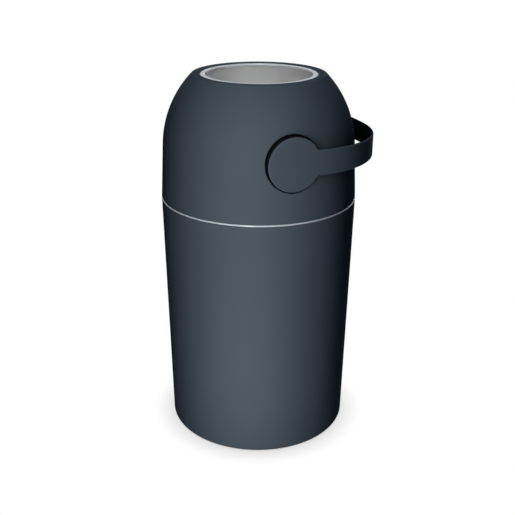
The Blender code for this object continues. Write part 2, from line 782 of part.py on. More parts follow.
def head_shell(surface, parent, axle):
    """Domed head with a mouth in its top, a pocket on each side and bosses for the frame."""
    end = dome(0.0, DOME_HEIGHT - RIM_ROUNDING)
    rounding = (end[-1][0] - RIM_ROUNDING, HEAD_TOP)
    outline = [(0.0, HEAD_BOTTOM), (HEAD_BASE_RADIUS, HEAD_BOTTOM), *end, rounding, (0.0, HEAD_TOP)]
    shell = piece("head_shell", spun(outline, SHELL_STEPS), surface, parent)

    reach = HEAD_BASE_RADIUS + OVERRUN
    pockets = both_sides(lambda: rod(POCKET_RADIUS, POCKET_FLOOR, reach, WELL_STEPS))
    cut(shell, "pockets", pockets, axle)
    void = cut(shell, "head_void", head_void())
    cup = POCKET_RADIUS + HEAD_WALL
    cut(void, "pocket_cups", both_sides(lambda: rod(cup, POCKET_BACK, reach, WELL_STEPS)), axle)
    collar_start = POCKET_FLOOR - HEAD_WALL / 2
    collars = both_sides(lambda: rod(COLLAR_RADIUS, collar_start, COLLAR_END, SMALL_STEPS))
    fuse(shell, "bearing_collars", collars, axle)
    other_side = Matrix.Rotation(math.pi, 4, "Z")
    fuse(shell, "stop_ribs", grouped([stop_rib(), moved(stop_rib(), other_side)]), axle)
    bore = (COLLAR_BORE_RADIUS, POCKET_BACK - OVERRUN, COLLAR_END + OVERRUN, SMALL_STEPS)
    cut(shell, "bearing_bores", both_sides(lambda: rod(*bore)), axle)

    places = ring_places(FRAME_SCREWS, frame_boss_radius(), FRAME_TOP + CLEARANCE)
    bosses = [moved(rod(FRAME_BOSS_RADIUS, 0.0, FRAME_BOSS_HEIGHT, SCREW_STEPS), p) for p in places]
    fuse(shell, "frame_bosses", grouped(bosses))
    hole = SCREW_RADIUS + CLEARANCE
    holes = [moved(rod(hole, -OVERRUN, SCREW_BITE + CLEARANCE, SCREW_STEPS), p) for p in places]
    cut(shell, "frame_boss_holes", grouped(holes))
    cut(
        shell,
        "head_hinge_notch",
        block(
            (-NOTCH_HALF_WIDTH, HINGE_BACK - KNUCKLE_RADIUS - KNUCKLE_ROOM, HEAD_BOTTOM - OVERRUN),
            (
                NOTCH_HALF_WIDTH,
                HEAD_BASE_RADIUS + OVERRUN,
                FRAME_BOTTOM + 2 * KNUCKLE_GAP,
            ),
        ),
    )
    return shell


def head_frame(surface, parent):
    """Ring plate with a seat for the chute seal, three knuckles at the back and the striker."""
    mouth = ball_radius(DRUM_RADIUS, PIVOT_HEIGHT - FRAME_TOP) + FRAME_MOUTH_GAP
    edge = head_radius(FRAME_BOTTOM) - HEAD_WALL - FRAME_SIDE_GAP
    ridge = chute_seal_radius() + CLEARANCE
    ridge_top = FRAME_TOP + FRAME_RIDGE_HEIGHT
    outline = [
        (mouth, FRAME_BOTTOM),
        (edge, FRAME_BOTTOM),
        (edge, FRAME_TOP),
        (ridge + FRAME_RIDGE_WIDTH, FRAME_TOP),
        (ridge + FRAME_RIDGE_WIDTH, ridge_top),
        (ridge, ridge_top),
        (ridge, FRAME_TOP),
        (mouth, FRAME_TOP),
    ]
    frame = piece("head_frame", spun(outline, SHELL_STEPS), surface, parent)
    leaves = [
        knuckle(span, -KNUCKLE_RADIUS, -CLEARANCE, FRAME_BOTTOM + KNUCKLE_GAP)
        for span in knuckle_spans(bracket=False)
    ]
    fuse(frame, "frame_knuckles", grouped(leaves))
    cut(frame, "frame_pin_hole", pin_hole())

    back = striker_face()
    front = back - STRIKER_THICKNESS
    low = FRAME_BOTTOM - STRIKER_LENGTH
    fuse(
        frame,
        "striker",
        block(
            (-STRIKER_HALF_WIDTH, -back, low),
            (STRIKER_HALF_WIDTH, -front, FRAME_BOTTOM + FRAME_THICKNESS / 2),
        ),
    )
    window_side = STRIKER_WINDOW_SHARE * STRIKER_HALF_WIDTH
    window_low = low + STRIKER_BAR
    cut(
        frame,
        "striker_window",
        block(
            (-window_side, -back - OVERRUN, window_low),
            (window_side, -front + OVERRUN, window_low + STRIKER_WINDOW_HEIGHT),
        ),
    )
    places = ring_places(FRAME_SCREWS, frame_boss_radius(), FRAME_BOTTOM)
    hole = SCREW_RADIUS + CLEARANCE
    holes = [
        moved(rod(hole, -OVERRUN, FRAME_THICKNESS + OVERRUN, SCREW_STEPS), p) for p in places
    ]
    cut(frame, "frame_screw_holes", grouped(holes))
    return frame


def frame_screws(surface, parent):
    """Screws that hold the frame up against the head's bosses."""
    length = CLEARANCE + FRAME_THICKNESS + SCREW_BITE
    places = ring_places(FRAME_SCREWS, frame_boss_radius(), FRAME_BOTTOM - CLEARANCE)
    shape = screw(SCREW_HEAD_RADIUS, SCREW_HEAD, SCREW_RADIUS, length)
    copies("frame_screw", shape, surface, parent, places)


def seal_radius(height):
    """Radius of a seal's lip at a height from the pivot, just off the drum."""
    return ball_radius(DRUM_RADIUS, height) + SEAL_GAP


def chute_seal_radius():
    """Outer radius of the chute seal."""
    return seal_radius(FRAME_TOP + CLEARANCE - PIVOT_HEIGHT) + CHUTE_SEAL_WIDTH


def chute_seal(surface, parent):
    """Soft ring on the frame with a lip that wipes the drum."""
    low = FRAME_TOP + CLEARANCE
    high = low + CHUTE_SEAL_HEIGHT
    outer = chute_seal_radius()
    outline = [
        (seal_radius(low - PIVOT_HEIGHT), low),
        (outer, low),
        (outer, low + FRAME_RIDGE_HEIGHT),
        (seal_radius(high - PIVOT_HEIGHT), high),
    ]
    return piece("chute_seal", spun(outline, SHELL_STEPS), surface, parent)


def upper_seal(surface, parent):
    """Soft ring under the head's rim with a lip that wipes the drum."""
    high = DOME_HEIGHT - RIM_THICKNESS - CLEARANCE
    low = high - UPPER_SEAL_HEIGHT
    wall = HEAD_WALL + SEAL_GAP
    outer_high = dome(wall, high)[-1]
    outer_low = dome(wall, low)[-1]
    outline = [
        (seal_radius(low), PIVOT_HEIGHT + low),
        outer_low,
        outer_high,
        (seal_radius(high), PIVOT_HEIGHT + high),
    ]
    return piece("upper_seal", spun(outline, SHELL_STEPS), surface, parent)


def bush(name, surface, axle, side):
    """Flanged bush in a bearing collar of the head."""
    outline = [
        (BUSH_BORE_RADIUS, BUSH_START),
        (COLLAR_RADIUS, BUSH_START),
        (COLLAR_RADIUS, BUSH_START + BUSH_FLANGE),
        (BUSH_RADIUS, BUSH_START + BUSH_FLANGE),
        (BUSH_RADIUS, COLLAR_END),
        (BUSH_BORE_RADIUS, COLLAR_END),
    ]
    return piece(name, moved(spun(outline, SMALL_STEPS), along_x(side)), surface, axle)


# Drum


def drum_outer():
    """Half of the drum as a thick ring, from the ball's skin to the mouth of the well."""
    split = CLEARANCE / 2
    low = math.asin(split / DRUM_RADIUS)
    high = math.asin(DRUM_END / DRUM_RADIUS)
    outline = arc((0.0, 0.0), DRUM_RADIUS, low, high, ARC_STEPS)
    outline += [(WELL_LIP_RADIUS, DRUM_END), (WELL_LIP_RADIUS, split)]
    return spun(outline, WELL_STEPS)


def drum_hollow():
    """The space inside the skin: it narrows to a seat for the end of the well's tube."""
    inner = DRUM_RADIUS - DRUM_WALL
    seat = WELL_RADIUS + DRUM_WALL + CLEARANCE
    ledge = WELL_FLOOR - TUBE_SEAT
    outline = [(0.0, -OVERRUN), (inner, -OVERRUN)]
    outline += arc((0.0, 0.0), inner, 0.0, math.asin(ledge / inner), ARC_STEPS)
    outline += [(seat, ledge), (seat, WELL_FLOOR), (0.0, WELL_FLOOR)]
    return spun(outline, WELL_STEPS)


def well_tube(surface, axle):
    """Plain tube between the lips of the two halves: the piston slides in it."""
    end = WELL_FLOOR - CLEARANCE
    radius = WELL_RADIUS + DRUM_WALL
    outline = [(WELL_RADIUS, -end), (radius, -end), (radius, end), (WELL_RADIUS, end)]
    return piece("well_tube", spun(outline, WELL_STEPS), surface, axle)


def hub_key_radius():
    """Corner radius of the hub's six-sided key."""
    return HUB_KEY_SHARE * JOURNAL_RADIUS


def drum_half(name, surface, axle, turn):
    """One of the two equal mouldings, with flats and sockets for the hubs."""
    half = piece(name, moved(drum_outer(), turn), surface, axle)
    reach = DRUM_RADIUS + OVERRUN
    boss = hub_key_radius() + HUB_BOSS_WALL
    boss_start = NUT_START - HUB_BOSS_WALL

    def beyond(start):
        return both_sides(lambda: block((-reach, -reach, start), (reach, reach, reach)))

    cut(half, f"{name}_flats", beyond(DRUM_FLAT))
    hollow = cut(half, f"{name}_hollow", moved(drum_hollow(), turn))
    cut(hollow, f"{name}_flat_walls", beyond(DRUM_FLAT - DRUM_WALL))
    bosses = both_sides(lambda: block((-boss, -boss, boss_start), (boss, boss, reach)))
    cut(hollow, f"{name}_bosses", bosses)
    key = hub_key_radius() + CLEARANCE
    cut(
        half,
        f"{name}_key_sockets",
        both_sides(lambda: rod(key, KEY_START - CLEARANCE, reach, KEY_CORNERS)),
    )
    nut = HUB_NUT_RADIUS + CLEARANCE
    cut(
        half,
        f"{name}_nut_pockets",
        both_sides(lambda: rod(nut, NUT_START - CLEARANCE, NUT_END + CLEARANCE, KEY_CORNERS)),
    )
    bore = HUB_SCREW_RADIUS + CLEARANCE
    cut(
        half,
        f"{name}_screw_bores",
        both_sides(lambda: rod(bore, SCREW_END - CLEARANCE, KEY_START + OVERRUN, SCREW_STEPS)),
    )
    return half


def hub(name, surface, axle, side):
    """Hub with a six-sided key in the drum, a journal in the bush and a dog in the handle."""
    neck = HUB_NECK_SHARE * JOURNAL_RADIUS
    overlap = HUB_NECK / 2
    core = [
        (0.0, HUB_COLLAR_START),
        (JOURNAL_RADIUS + HUB_COLLAR_RIM, HUB_COLLAR_START),
        (JOURNAL_RADIUS + HUB_COLLAR_RIM, HUB_COLLAR_END),
        (JOURNAL_RADIUS, HUB_COLLAR_END),
        (JOURNAL_RADIUS, JOURNAL_END),
        (neck, JOURNAL_END),
        (neck, DOG_START + overlap),
        (0.0, DOG_START + overlap),
    ]
    turn = along_x(side)
    made = piece(name, moved(spun(core, SMALL_STEPS), turn), surface, axle)
    key = rod(hub_key_radius(), KEY_START, HUB_COLLAR_START + overlap, KEY_CORNERS)
    fuse(made, f"{name}_key", moved(key, turn))
    dog = rod(HUB_DOG_SHARE * JOURNAL_RADIUS, DOG_START, DOG_END, KEY_CORNERS)
    fuse(made, f"{name}_dog", moved(dog, turn))
    bore = HUB_SCREW_RADIUS + CLEARANCE
    through = rod(bore, KEY_START - OVERRUN, DOG_END + OVERRUN, SCREW_STEPS)
    cut(made, f"{name}_bore", moved(through, turn))
    sink = DOG_END - HUB_SCREW_HEAD - 2 * CLEARANCE
    head = rod(HUB_SCREW_HEAD_RADIUS + CLEARANCE, sink, DOG_END + OVERRUN, SMALL_STEPS // 2)
    cut(made, f"{name}_sink", moved(head, turn))
    return made


def hub_screw(name, surface, axle, side):
    """Long screw through the hub into the captive nut."""
    under_head = DOG_END - HUB_SCREW_HEAD - CLEARANCE
    shape = screw(HUB_SCREW_HEAD_RADIUS, HUB_SCREW_HEAD, HUB_SCREW_RADIUS, under_head - SCREW_END)
    inwards = Matrix.Translation((0.0, 0.0, under_head)) @ Matrix.Rotation(math.pi, 4, "X")
    return piece(name, moved(shape, along_x(side) @ inwards), surface, axle)


def hub_nut(name, surface, axle, side):
    """Six-sided nut held in the drum's boss."""
    turn = along_x(side)
    shape = moved(rod(HUB_NUT_RADIUS, NUT_START, NUT_END, KEY_CORNERS), turn)
    nut = piece(name, shape, surface, axle, smooth=False)
    bore = HUB_SCREW_RADIUS + CLEARANCE
    through = rod(bore, NUT_START - OVERRUN, NUT_END + OVERRUN, SCREW_STEPS)
    cut(nut, f"{name}_bore", moved(through, turn))
    return nut


# Handle


def handle_plan(share):
    """A point of the band's outer face from above: straight by the disc, then a rounded bow.

    Share runs from 0 at the straight run's end on +X, past 0.5 at the tip, to 1 on -X.
    """
    angle = math.pi * share
    power = 2 / HANDLE_CURVE_POWER
    c = math.cos(angle)
    x = DISC_FACE * math.copysign(abs(c) ** power, c)
    y = HANDLE_STRAIGHT + (HANDLE_REACH - HANDLE_STRAIGHT) * math.sin(angle) ** power
    return x, y


def neck_half_height(y):
    """Half height of the band: a fillet against the disc, then a slow taper to the tip."""
    neck = HANDLE_NECK_HEIGHT / 2
    tip = HANDLE_TIP_HEIGHT / 2
    fillet_y, fillet_z = neck_fillet_centre()
    taper = max(0.0, (y - fillet_y) / (HANDLE_REACH - fillet_y))
    start = fillet_y * DISC_RADIUS / (DISC_RADIUS + HANDLE_NECK_FILLET)
    if start - MERGE_DISTANCE <= y < fillet_y:
        return fillet_z - math.sqrt(HANDLE_NECK_FILLET**2 - (fillet_y - y) ** 2)
    return neck + (tip - neck) * taper


def neck_fillet_centre():
    """Centre of the fillet circle that touches the disc's edge and the band's edge."""
    z = HANDLE_NECK_HEIGHT / 2 + HANDLE_NECK_FILLET
    return math.sqrt((DISC_RADIUS + HANDLE_NECK_FILLET) ** 2 - z**2), z


def handle_stations():
    """Points of the band's outer face with its outward normal, from +X round the tip to -X."""
    fillet_y = neck_fillet_centre()[0]
    start = fillet_y * DISC_RADIUS / (DISC_RADIUS + HANDLE_NECK_FILLET)
    bow = [handle_plan(i / HANDLE_CURVE_STEPS) for i in range(HANDLE_CURVE_STEPS + 1)]
    bow = [point for point in bow if point[0] > 0.0 and point[1] > fillet_y + HANDLE_NECK_FILLET]

    def face_x(y):
        over = max(0.0, y - HANDLE_STRAIGHT) / (HANDLE_REACH - HANDLE_STRAIGHT)
        return DISC_FACE * (1.0 - over**HANDLE_CURVE_POWER) ** (1 / HANDLE_CURVE_POWER)

    neck = [share * start for share in HANDLE_ROOT_SHARES]
    steps = range(HANDLE_FILLET_STEPS + 1)
    neck += [start + (fillet_y - start) * i / HANDLE_FILLET_STEPS for i in steps]
    near = [(face_x(y), y) for y in neck] + bow
    points = near + [(0.0, HANDLE_REACH)] + [(-x, y) for x, y in reversed(near)]
    stations = []
    for i, (x, y) in enumerate(points):
        before = points[max(i - 1, 0)]
        after = points[min(i + 1, len(points) - 1)]
        along = (after[0] - before[0], after[1] - before[1])
        length = math.hypot(*along)
        stations.append((x, y, along[1] / length, -along[0] / length))
    return stations


def handle_band():
    """The band: a chamfered strip carried along the bow."""
    sections = []
    for x, y, nx, ny in handle_stations():
        half = neck_half_height(y)
        edge = HANDLE_EDGE
        depth = HANDLE_THICKNESS
        outline = [
            (0.0, half - edge),
            (0.0, edge - half),
            (edge, -half),
            (depth - edge, -half),
            (depth, edge - half),
            (depth, half - edge),
            (depth - edge, half),
            (edge, half),
        ]
        sections.append([(x - nx * d, y - ny * d, z) for d, z in outline])
    return lofted(sections)


def handle_disc():
    """Disc with a skirt round its back and a collar that claws behind the hub's dog."""
    skirt_end = POCKET_FLOOR + DISC_FLOOR_GAP
    claw = CLAW_LIP_SHARE * JOURNAL_RADIUS
    collar = JOURNAL_RADIUS + CLAW_COLLAR_WALL
    collar_end = JOURNAL_END + CLEARANCE
    outline = [(0.0, DISC_FACE)]
    outline += arc(
        (DISC_RADIUS - DISC_ROUNDING, DISC_FACE - DISC_ROUNDING), DISC_ROUNDING, math.pi / 2, 0.0, 2
    )
    outline += [
        (DISC_RADIUS, skirt_end),
        (DISC_RADIUS - DISC_SKIRT, skirt_end),
        (DISC_RADIUS - DISC_SKIRT, PLATE_BACK),
        (collar, PLATE_BACK),
        (collar, collar_end),
        (claw, collar_end),
        (claw, PLATE_BACK),
        (0.0, PLATE_BACK),
    ]
    return spun(outline, WELL_STEPS)


def handle(surface, axle):
    """The whole handle, with the lugs that meet the stops at the ends of its travel."""
    made = piece("handle", handle_band(), surface, axle)
    for label, side in (("right", 1), ("left", -1)):
        turn = along_x(side)
        fuse(made, f"disc_{label}", moved(handle_disc(), turn))
        lug = block(
            (-STOP_LUG_HALF_WIDTH, STOP_INNER_SHARE * DISC_RADIUS, POCKET_FLOOR + DISC_FLOOR_GAP),
            (
                STOP_LUG_HALF_WIDTH,
                STOP_OUTER_SHARE * DISC_RADIUS,
                PLATE_BACK + HANDLE_THICKNESS / 2,
            ),
        )
        fuse(made, f"stop_lug_{label}", moved(lug, turn))
        dog = HUB_DOG_SHARE * JOURNAL_RADIUS + CLEARANCE
        socket = rod(dog, JOURNAL_END + CLEARANCE + CLAW_LIP, PLATE_BACK, KEY_CORNERS)
        cut(made, f"dog_socket_{label}", moved(socket, turn))
    return made


# Piston, in the drum's frame


def piston_boss_circle():
    """Radius of the circle that the piston's screws stand on."""
    return WELL_RADIUS - WIPER_WIDTH - PISTON_BOSS_RADIUS - PISTON_BOSS_GAP


def wiper_low():
    """Underside of the wiper ring, half way up the piston."""
    return (PISTON_BOTTOM + PISTON_TOP - WIPER_HEIGHT) / 2


def piston_cup(name, surface, parent, upper):
    """A cup with a rim that clamps the wiper, and bosses for the screws."""
    radius = WELL_RADIUS - PISTON_SIDE_GAP
    rim = radius - PISTON_RIM
    if upper:
        face, plate, edge = PISTON_TOP, PISTON_TOP - PISTON_PLATE, wiper_low() + WIPER_HEIGHT + CLEARANCE
    else:
        face, plate, edge = PISTON_BOTTOM, PISTON_BOTTOM + PISTON_PLATE, wiper_low() - CLEARANCE
    outline = [(0.0, face), (radius, face), (radius, edge), (rim, edge), (rim, plate), (0.0, plate)]
    cup = piece(name, spun(outline, WELL_STEPS), surface, parent)
    middle = (PISTON_BOTTOM + PISTON_TOP) / 2
    places = ring_places(PISTON_SCREWS, piston_boss_circle(), 0.0)
    hole = SCREW_RADIUS + CLEARANCE
    if upper:
        low, high = middle + CLEARANCE, PISTON_TOP - PISTON_PLATE / 2
        bores = [rod(hole, middle - OVERRUN, PISTON_TOP - PISTON_PLATE, SCREW_STEPS) for _ in places]
    else:
        low, high = PISTON_BOTTOM + PISTON_PLATE / 2, middle
        bores = [rod(hole, PISTON_BOTTOM - OVERRUN, middle + OVERRUN, SCREW_STEPS) for _ in places]
    bosses = [moved(rod(PISTON_BOSS_RADIUS, low, high, SCREW_STEPS), p) for p in places]
    fuse(cup, f"{name}_bosses", grouped(bosses))
    cut(cup, f"{name}_bores", grouped([moved(bm, p) for bm, p in zip(bores, places)]))
    if not upper:
        sink = SCREW_HEAD_RADIUS + CLEARANCE
        low, high = PISTON_BOTTOM - OVERRUN, PISTON_BOTTOM + PISTON_SCREW_SINK
        sinks = [moved(rod(sink, low, high, SCREW_STEPS), p) for p in places]
        cut(cup, f"{name}_sinks", grouped(sinks))
    return cup


def piston_weight(surface, parent):
    """Steel disc on the floor of the lower cup."""
    low = PISTON_BOTTOM + PISTON_PLATE + CLEARANCE
    radius = piston_boss_circle() - PISTON_BOSS_RADIUS - PISTON_BOSS_GAP
    return piece("piston_weight", rod(radius, low, low + WEIGHT_THICKNESS, WELL_STEPS), surface, parent)


def piston_wiper(surface, parent):
    """Rubber ring clamped between the cups, with a bevelled lip towards the well."""
    low, high = wiper_low(), wiper_low() + WIPER_HEIGHT
    lip = WELL_RADIUS - WIPER_SIDE_GAP
    bevel = WIPER_HEIGHT / 3
    outline = [
        (lip - WIPER_WIDTH, low),
        (lip - bevel, low),
        (lip, low + bevel),
        (lip, high - bevel),
        (lip - bevel, high),
        (lip - WIPER_WIDTH, high),
    ]
    return piece("piston_wiper", spun(outline, WELL_STEPS), surface, parent)


def piston_screws(surface, parent):
    """Screws from the lower face into the upper cup."""
    under_head = PISTON_BOTTOM + PISTON_SCREW_SINK - CLEARANCE
    length = (PISTON_BOTTOM + PISTON_TOP) / 2 + SCREW_BITE / 2 - under_head
    places = ring_places(PISTON_SCREWS, piston_boss_circle(), under_head)
    shape = screw(SCREW_HEAD_RADIUS, SCREW_HEAD, SCREW_RADIUS, length)
    copies("piston_screw", shape, surface, parent, places)


def main():
    """Builds every piece under the empty of its moving group."""
    for old in list(bpy.data.objects):
        bpy.data.objects.remove(old)

    dark = {"colour": (0.043, 0.063, 0.084), "roughness": 0.55}
    pale = {"colour": (0.52, 0.54, 0.56), "roughness": 0.45}
    steel = {"colour": (0.56, 0.56, 0.57), "roughness": 0.3, "metallic": 1.0}
    rubber = {"colour": (0.03, 0.03, 0.032), "roughness": 0.8}
    slippery = {"colour": (0.78, 0.78, 0.75), "roughness": 0.35}

    ground = empty("bin_ground")
    head_axis = empty("head_hinge_axis", ground, (0.0, HINGE_BACK, HINGE_HEIGHT))
    head = empty("head_frame_of_reference", head_axis, (0.0, -HINGE_BACK, -HINGE_HEIGHT))
    drum = empty("drum_axis", head, (0.0, 0.0, PIVOT_HEIGHT))

    bin_body(material("body_plastic", **dark), ground)
    bag_ring(material("bag_ring_plastic", **pale), ground)
    catch_spring(material("catch_spring_steel", **steel), ground)
    hinge_bracket(material("bracket_plastic", **dark), ground)
    bracket_screws(material("bracket_screw_steel", **steel), ground)
    hinge_pin(material("hinge_pin_steel", **steel), ground)

    head_shell(material("head_plastic", **dark), head, drum)
    head_frame(material("head_frame_plastic", **dark), head)
    frame_screws(material("frame_screw_steel", **steel), head)
    upper_seal(material("upper_seal_rubber", **rubber), head)
    chute_seal(material("chute_seal_rubber", **rubber), head)
    for label, side in (("right", 1), ("left", -1)):
        bush(f"{label}_bush", material(f"{label}_bush_plastic", **slippery), drum, side)
        hub(f"{label}_hub", material(f"{label}_hub_plastic", **dark), drum, side)
        hub_screw(f"{label}_hub_screw", material(f"{label}_screw_steel", **steel), drum, side)
        hub_nut(f"{label}_hub_nut", material(f"{label}_nut_steel", **steel), drum, side)

    drum_half("drum_half_upper", material("drum_upper_plastic", **pale), drum, Matrix())
    over = Matrix.Rotation(math.pi, 4, "X")
    drum_half("drum_half_lower", material("drum_lower_plastic", **pale), drum, over)
    well_tube(material("well_tube_plastic", **pale), drum)
    handle(material("handle_plastic", **dark), drum)

    piston_cup("piston_cup_lower", material("lower_cup_plastic", **pale), drum, upper=False)
    piston_cup("piston_cup_upper", material("upper_cup_plastic", **pale), drum, upper=True)
    piston_weight(material("weight_steel", **steel), drum)
    piston_wiper(material("wiper_rubber", **rubber), drum)
    piston_screws(material("piston_screw_steel", **steel), drum)


main()
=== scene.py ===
"""Looks of a nappy bin with a turning drum.

Fine surfaces, finishes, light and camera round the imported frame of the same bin. Lengths are in
metres, +Z is up, and the handle's bow lies at +Y.
"""

import logging
import math
from collections.abc import Callable, Iterable, Sequence
from dataclasses import dataclass, field
from enum import Enum

import bmesh
import bpy
import numpy as np
from mathutils import Matrix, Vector
from mathutils.geometry import tessellate_polygon


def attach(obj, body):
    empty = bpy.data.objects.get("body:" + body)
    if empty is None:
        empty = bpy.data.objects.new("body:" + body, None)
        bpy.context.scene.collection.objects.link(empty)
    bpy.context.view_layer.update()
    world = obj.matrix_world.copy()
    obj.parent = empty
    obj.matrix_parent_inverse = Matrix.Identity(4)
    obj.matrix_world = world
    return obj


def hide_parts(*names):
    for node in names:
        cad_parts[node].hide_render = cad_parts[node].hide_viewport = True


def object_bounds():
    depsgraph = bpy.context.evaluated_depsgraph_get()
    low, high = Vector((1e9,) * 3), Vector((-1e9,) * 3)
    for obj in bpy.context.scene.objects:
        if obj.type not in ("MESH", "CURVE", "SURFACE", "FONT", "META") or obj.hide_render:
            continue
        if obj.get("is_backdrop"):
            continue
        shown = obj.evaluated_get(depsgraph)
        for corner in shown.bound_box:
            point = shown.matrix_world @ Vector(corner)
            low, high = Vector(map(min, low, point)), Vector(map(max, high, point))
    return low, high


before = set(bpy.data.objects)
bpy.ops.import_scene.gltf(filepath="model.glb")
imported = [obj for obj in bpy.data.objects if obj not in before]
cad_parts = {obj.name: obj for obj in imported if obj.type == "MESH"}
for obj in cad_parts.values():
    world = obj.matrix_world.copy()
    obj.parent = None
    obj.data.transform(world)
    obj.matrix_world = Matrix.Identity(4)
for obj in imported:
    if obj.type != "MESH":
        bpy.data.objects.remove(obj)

LOG = logging.getLogger("nappy_bin")
# Parts in the arc of an edge, in a full turn of large and small surfaces, and round a hinge
ARC_STEPS = 6
ROUND_STEPS = 192
SMALL_STEPS = 48
KNUCKLE_STEPS = 40
BORE_STEPS = 32
# Points closer than this are one, and edges sharper than this stay sharp
MERGE = 1e-6
SHARP = math.radians(35.0)
BEVEL_SHARP = math.radians(40.0)
WHITE = (1.0, 1.0, 1.0, 1.0)

# Both coordinates of an outline's corner, and the radius of its arc where it has one
Corner = tuple[float, ...]


class Body(Enum):
    """Moving groups of the bin."""

    BIN = "bin"
    HEAD = "head"
    DRUM = "drum"
    PISTON = "piston"


class Side(Enum):
    """The two ends of the drum's axle, as their direction along X."""

    RIGHT = 1
    LEFT = -1


# Surfaces


@dataclass
class Skin:
    """Points and faces of one or more closed surfaces."""

    points: np.ndarray
    faces: list[list[int]]

    def moved(self, matrix: Matrix) -> "Skin":
        """The same surface carried by a matrix."""
        turn = np.array(matrix)
        return Skin(self.points @ turn[:3, :3].T + turn[:3, 3], self.faces)


def joined(skins: Iterable[Skin]) -> Skin:
    """Puts several surfaces into one.

    Args:
        skins: Surfaces to put together.

    Returns:
        One surface with all their points and faces.
    """
    points, faces, start = [], [], 0
    for skin in skins:
        points.append(skin.points)
        faces += [[index + start for index in face] for face in skin.faces]
        start += len(skin.points)
    return Skin(np.concatenate(points), faces)


def woven(points: np.ndarray, closed: bool = False) -> Skin:
    """Four-sided faces over a grid of points whose last column meets the first.

    Args:
        points: Array of rows by columns by 3.
        closed: Whether the last row meets the first.

    Returns:
        The surface through the grid.
    """
    rows, columns = points.shape[:2]
    index = np.arange(rows * columns).reshape(rows, columns)
    index = np.concatenate([index, index[:, :1]], axis=1)
    if closed:
        index = np.concatenate([index, index[:1]], axis=0)
    quads = np.stack([index[:-1, :-1], index[:-1, 1:], index[1:, 1:], index[1:, :-1]], axis=-1)
    return Skin(points.reshape(-1, 3), quads.reshape(-1, 4).tolist())


def rounded(corners: Sequence[Corner], closed: bool = True) -> np.ndarray:
    """Outline with an arc at each corner.

    A corner's arc touches both sides at radius / tan(half angle) from the corner. Its points are
    centre + (sin((1 - s) w) a + sin(s w) b) / sin(w) for s from 0 to 1, where a and b run from the
    centre to both touching points and w is the angle between them. One guard point on each side
    keeps the shading of the flats flat.

    Args:
        corners: The corners in order. One without a radius stays sharp.
        closed: Whether the last corner joins the first. Otherwise both stay sharp.

    Returns:
        Array of points by 2.
    """
    runs = []
    for i, (u, v, *arc) in enumerate(corners):
        here, radius = np.array((u, v)), arc[0] if arc else 0.0
        if radius <= 0.0 or (not closed and i in (0, len(corners) - 1)):
            runs.append(here[None])
            continue
        back = np.array(corners[i - 1][:2]) - here
        ahead = np.array(corners[(i + 1) % len(corners)][:2]) - here
        room = min(np.linalg.norm(back), np.linalg.norm(ahead))
        back, ahead = back / np.linalg.norm(back), ahead / np.linalg.norm(ahead)
        half = 0.5 * math.acos(float(np.clip(back @ ahead, -1.0, 1.0)))
        reach = radius / math.tan(half)
        middle = (back + ahead) / np.linalg.norm(back + ahead)
        centre = here + middle * radius / math.sin(half)
        a, b = here + back * reach - centre, here + ahead * reach - centre
        sweep = math.pi - 2 * half
        share = np.linspace(0.0, 1.0, ARC_STEPS + 1)[:, None]
        bow = (np.sin((1 - share) * sweep) * a + np.sin(share * sweep) * b) / math.sin(sweep)
        guard = reach + min(0.4 * radius, 0.2 * max(room - reach, 0.0))
        runs += [(here + back * guard)[None], centre + bow, (here + ahead * guard)[None]]
    return np.concatenate(runs)


def lathed(outline: np.ndarray, steps: int = ROUND_STEPS, closed: bool = True) -> Skin:
    """Surface of revolution about Z.

    Point (i, j) is (r_i cos t_j, r_i sin t_j, z_i), with t_j = 2 pi j / steps.

    Args:
        outline: Array of (radius, height) points.
        steps: Parts in a full turn.
        closed: Whether the outline's last point joins its first.

    Returns:
        The surface.
    """
    turn = 2 * math.pi * np.arange(steps) / steps
    radius, height = outline[:, 0, None], outline[:, 1, None] + np.zeros(steps)
    return woven(np.stack([radius * np.cos(turn), radius * np.sin(turn), height], axis=-1), closed)


def turned(corners: Sequence[Corner], steps: int = ROUND_STEPS, closed: bool = True) -> Skin:
    """Round solid on Z with rounded edges; an open outline starts and ends on the axis."""
    return lathed(rounded(corners, closed), steps, closed)


def rod(radius: float, low: float, high: float, edge: float = 0.0) -> Skin:
    """Round rod on Z, with the same rounding at both ends."""
    corners = [(0.0, low), (radius, low, edge), (radius, high, edge), (0.0, high)]
    return turned(corners, SMALL_STEPS, closed=False)


def extruded(outline: np.ndarray, low: float, high: float, hole: np.ndarray | None = None) -> Skin:
    """Straight solid along X with an outline in the (y, z) plane.

    Args:
        outline: Array of (y, z) points, in order.
        low: Where it starts along X.
        high: Where it ends along X.
        hole: Outline of a hole right through, if any.

    Returns:
        The closed surface.
    """
    loops = [outline] if hole is None else [outline, hole]
    ends = (low, high)
    walls = [woven(np.stack([np.insert(loop, 0, x, axis=1) for x in ends])) for loop in loops]
    flat = np.concatenate(loops)
    caps = tessellate_polygon([[(*point, 0.0) for point in loop.tolist()] for loop in loops])
    faces = [list(cap) for cap in caps]
    return joined(walls + [Skin(np.insert(flat, 0, x, axis=1), faces) for x in ends])


def boxed(low: Sequence[float], high: Sequence[float], edge: float = 0.0) -> Skin:
    """A box between two corners, with rounded edges along X.

    Args:
        low: Lowest corner.
        high: Highest corner.
        edge: Radius of the four edges along X.

    Returns:
        The closed surface.
    """
    (_, front, bottom), (_, back, top) = low, high
    ways = ((front, bottom), (back, bottom), (back, top), (front, top))
    return extruded(rounded([(*way, edge) for way in ways]), low[0], high[0])


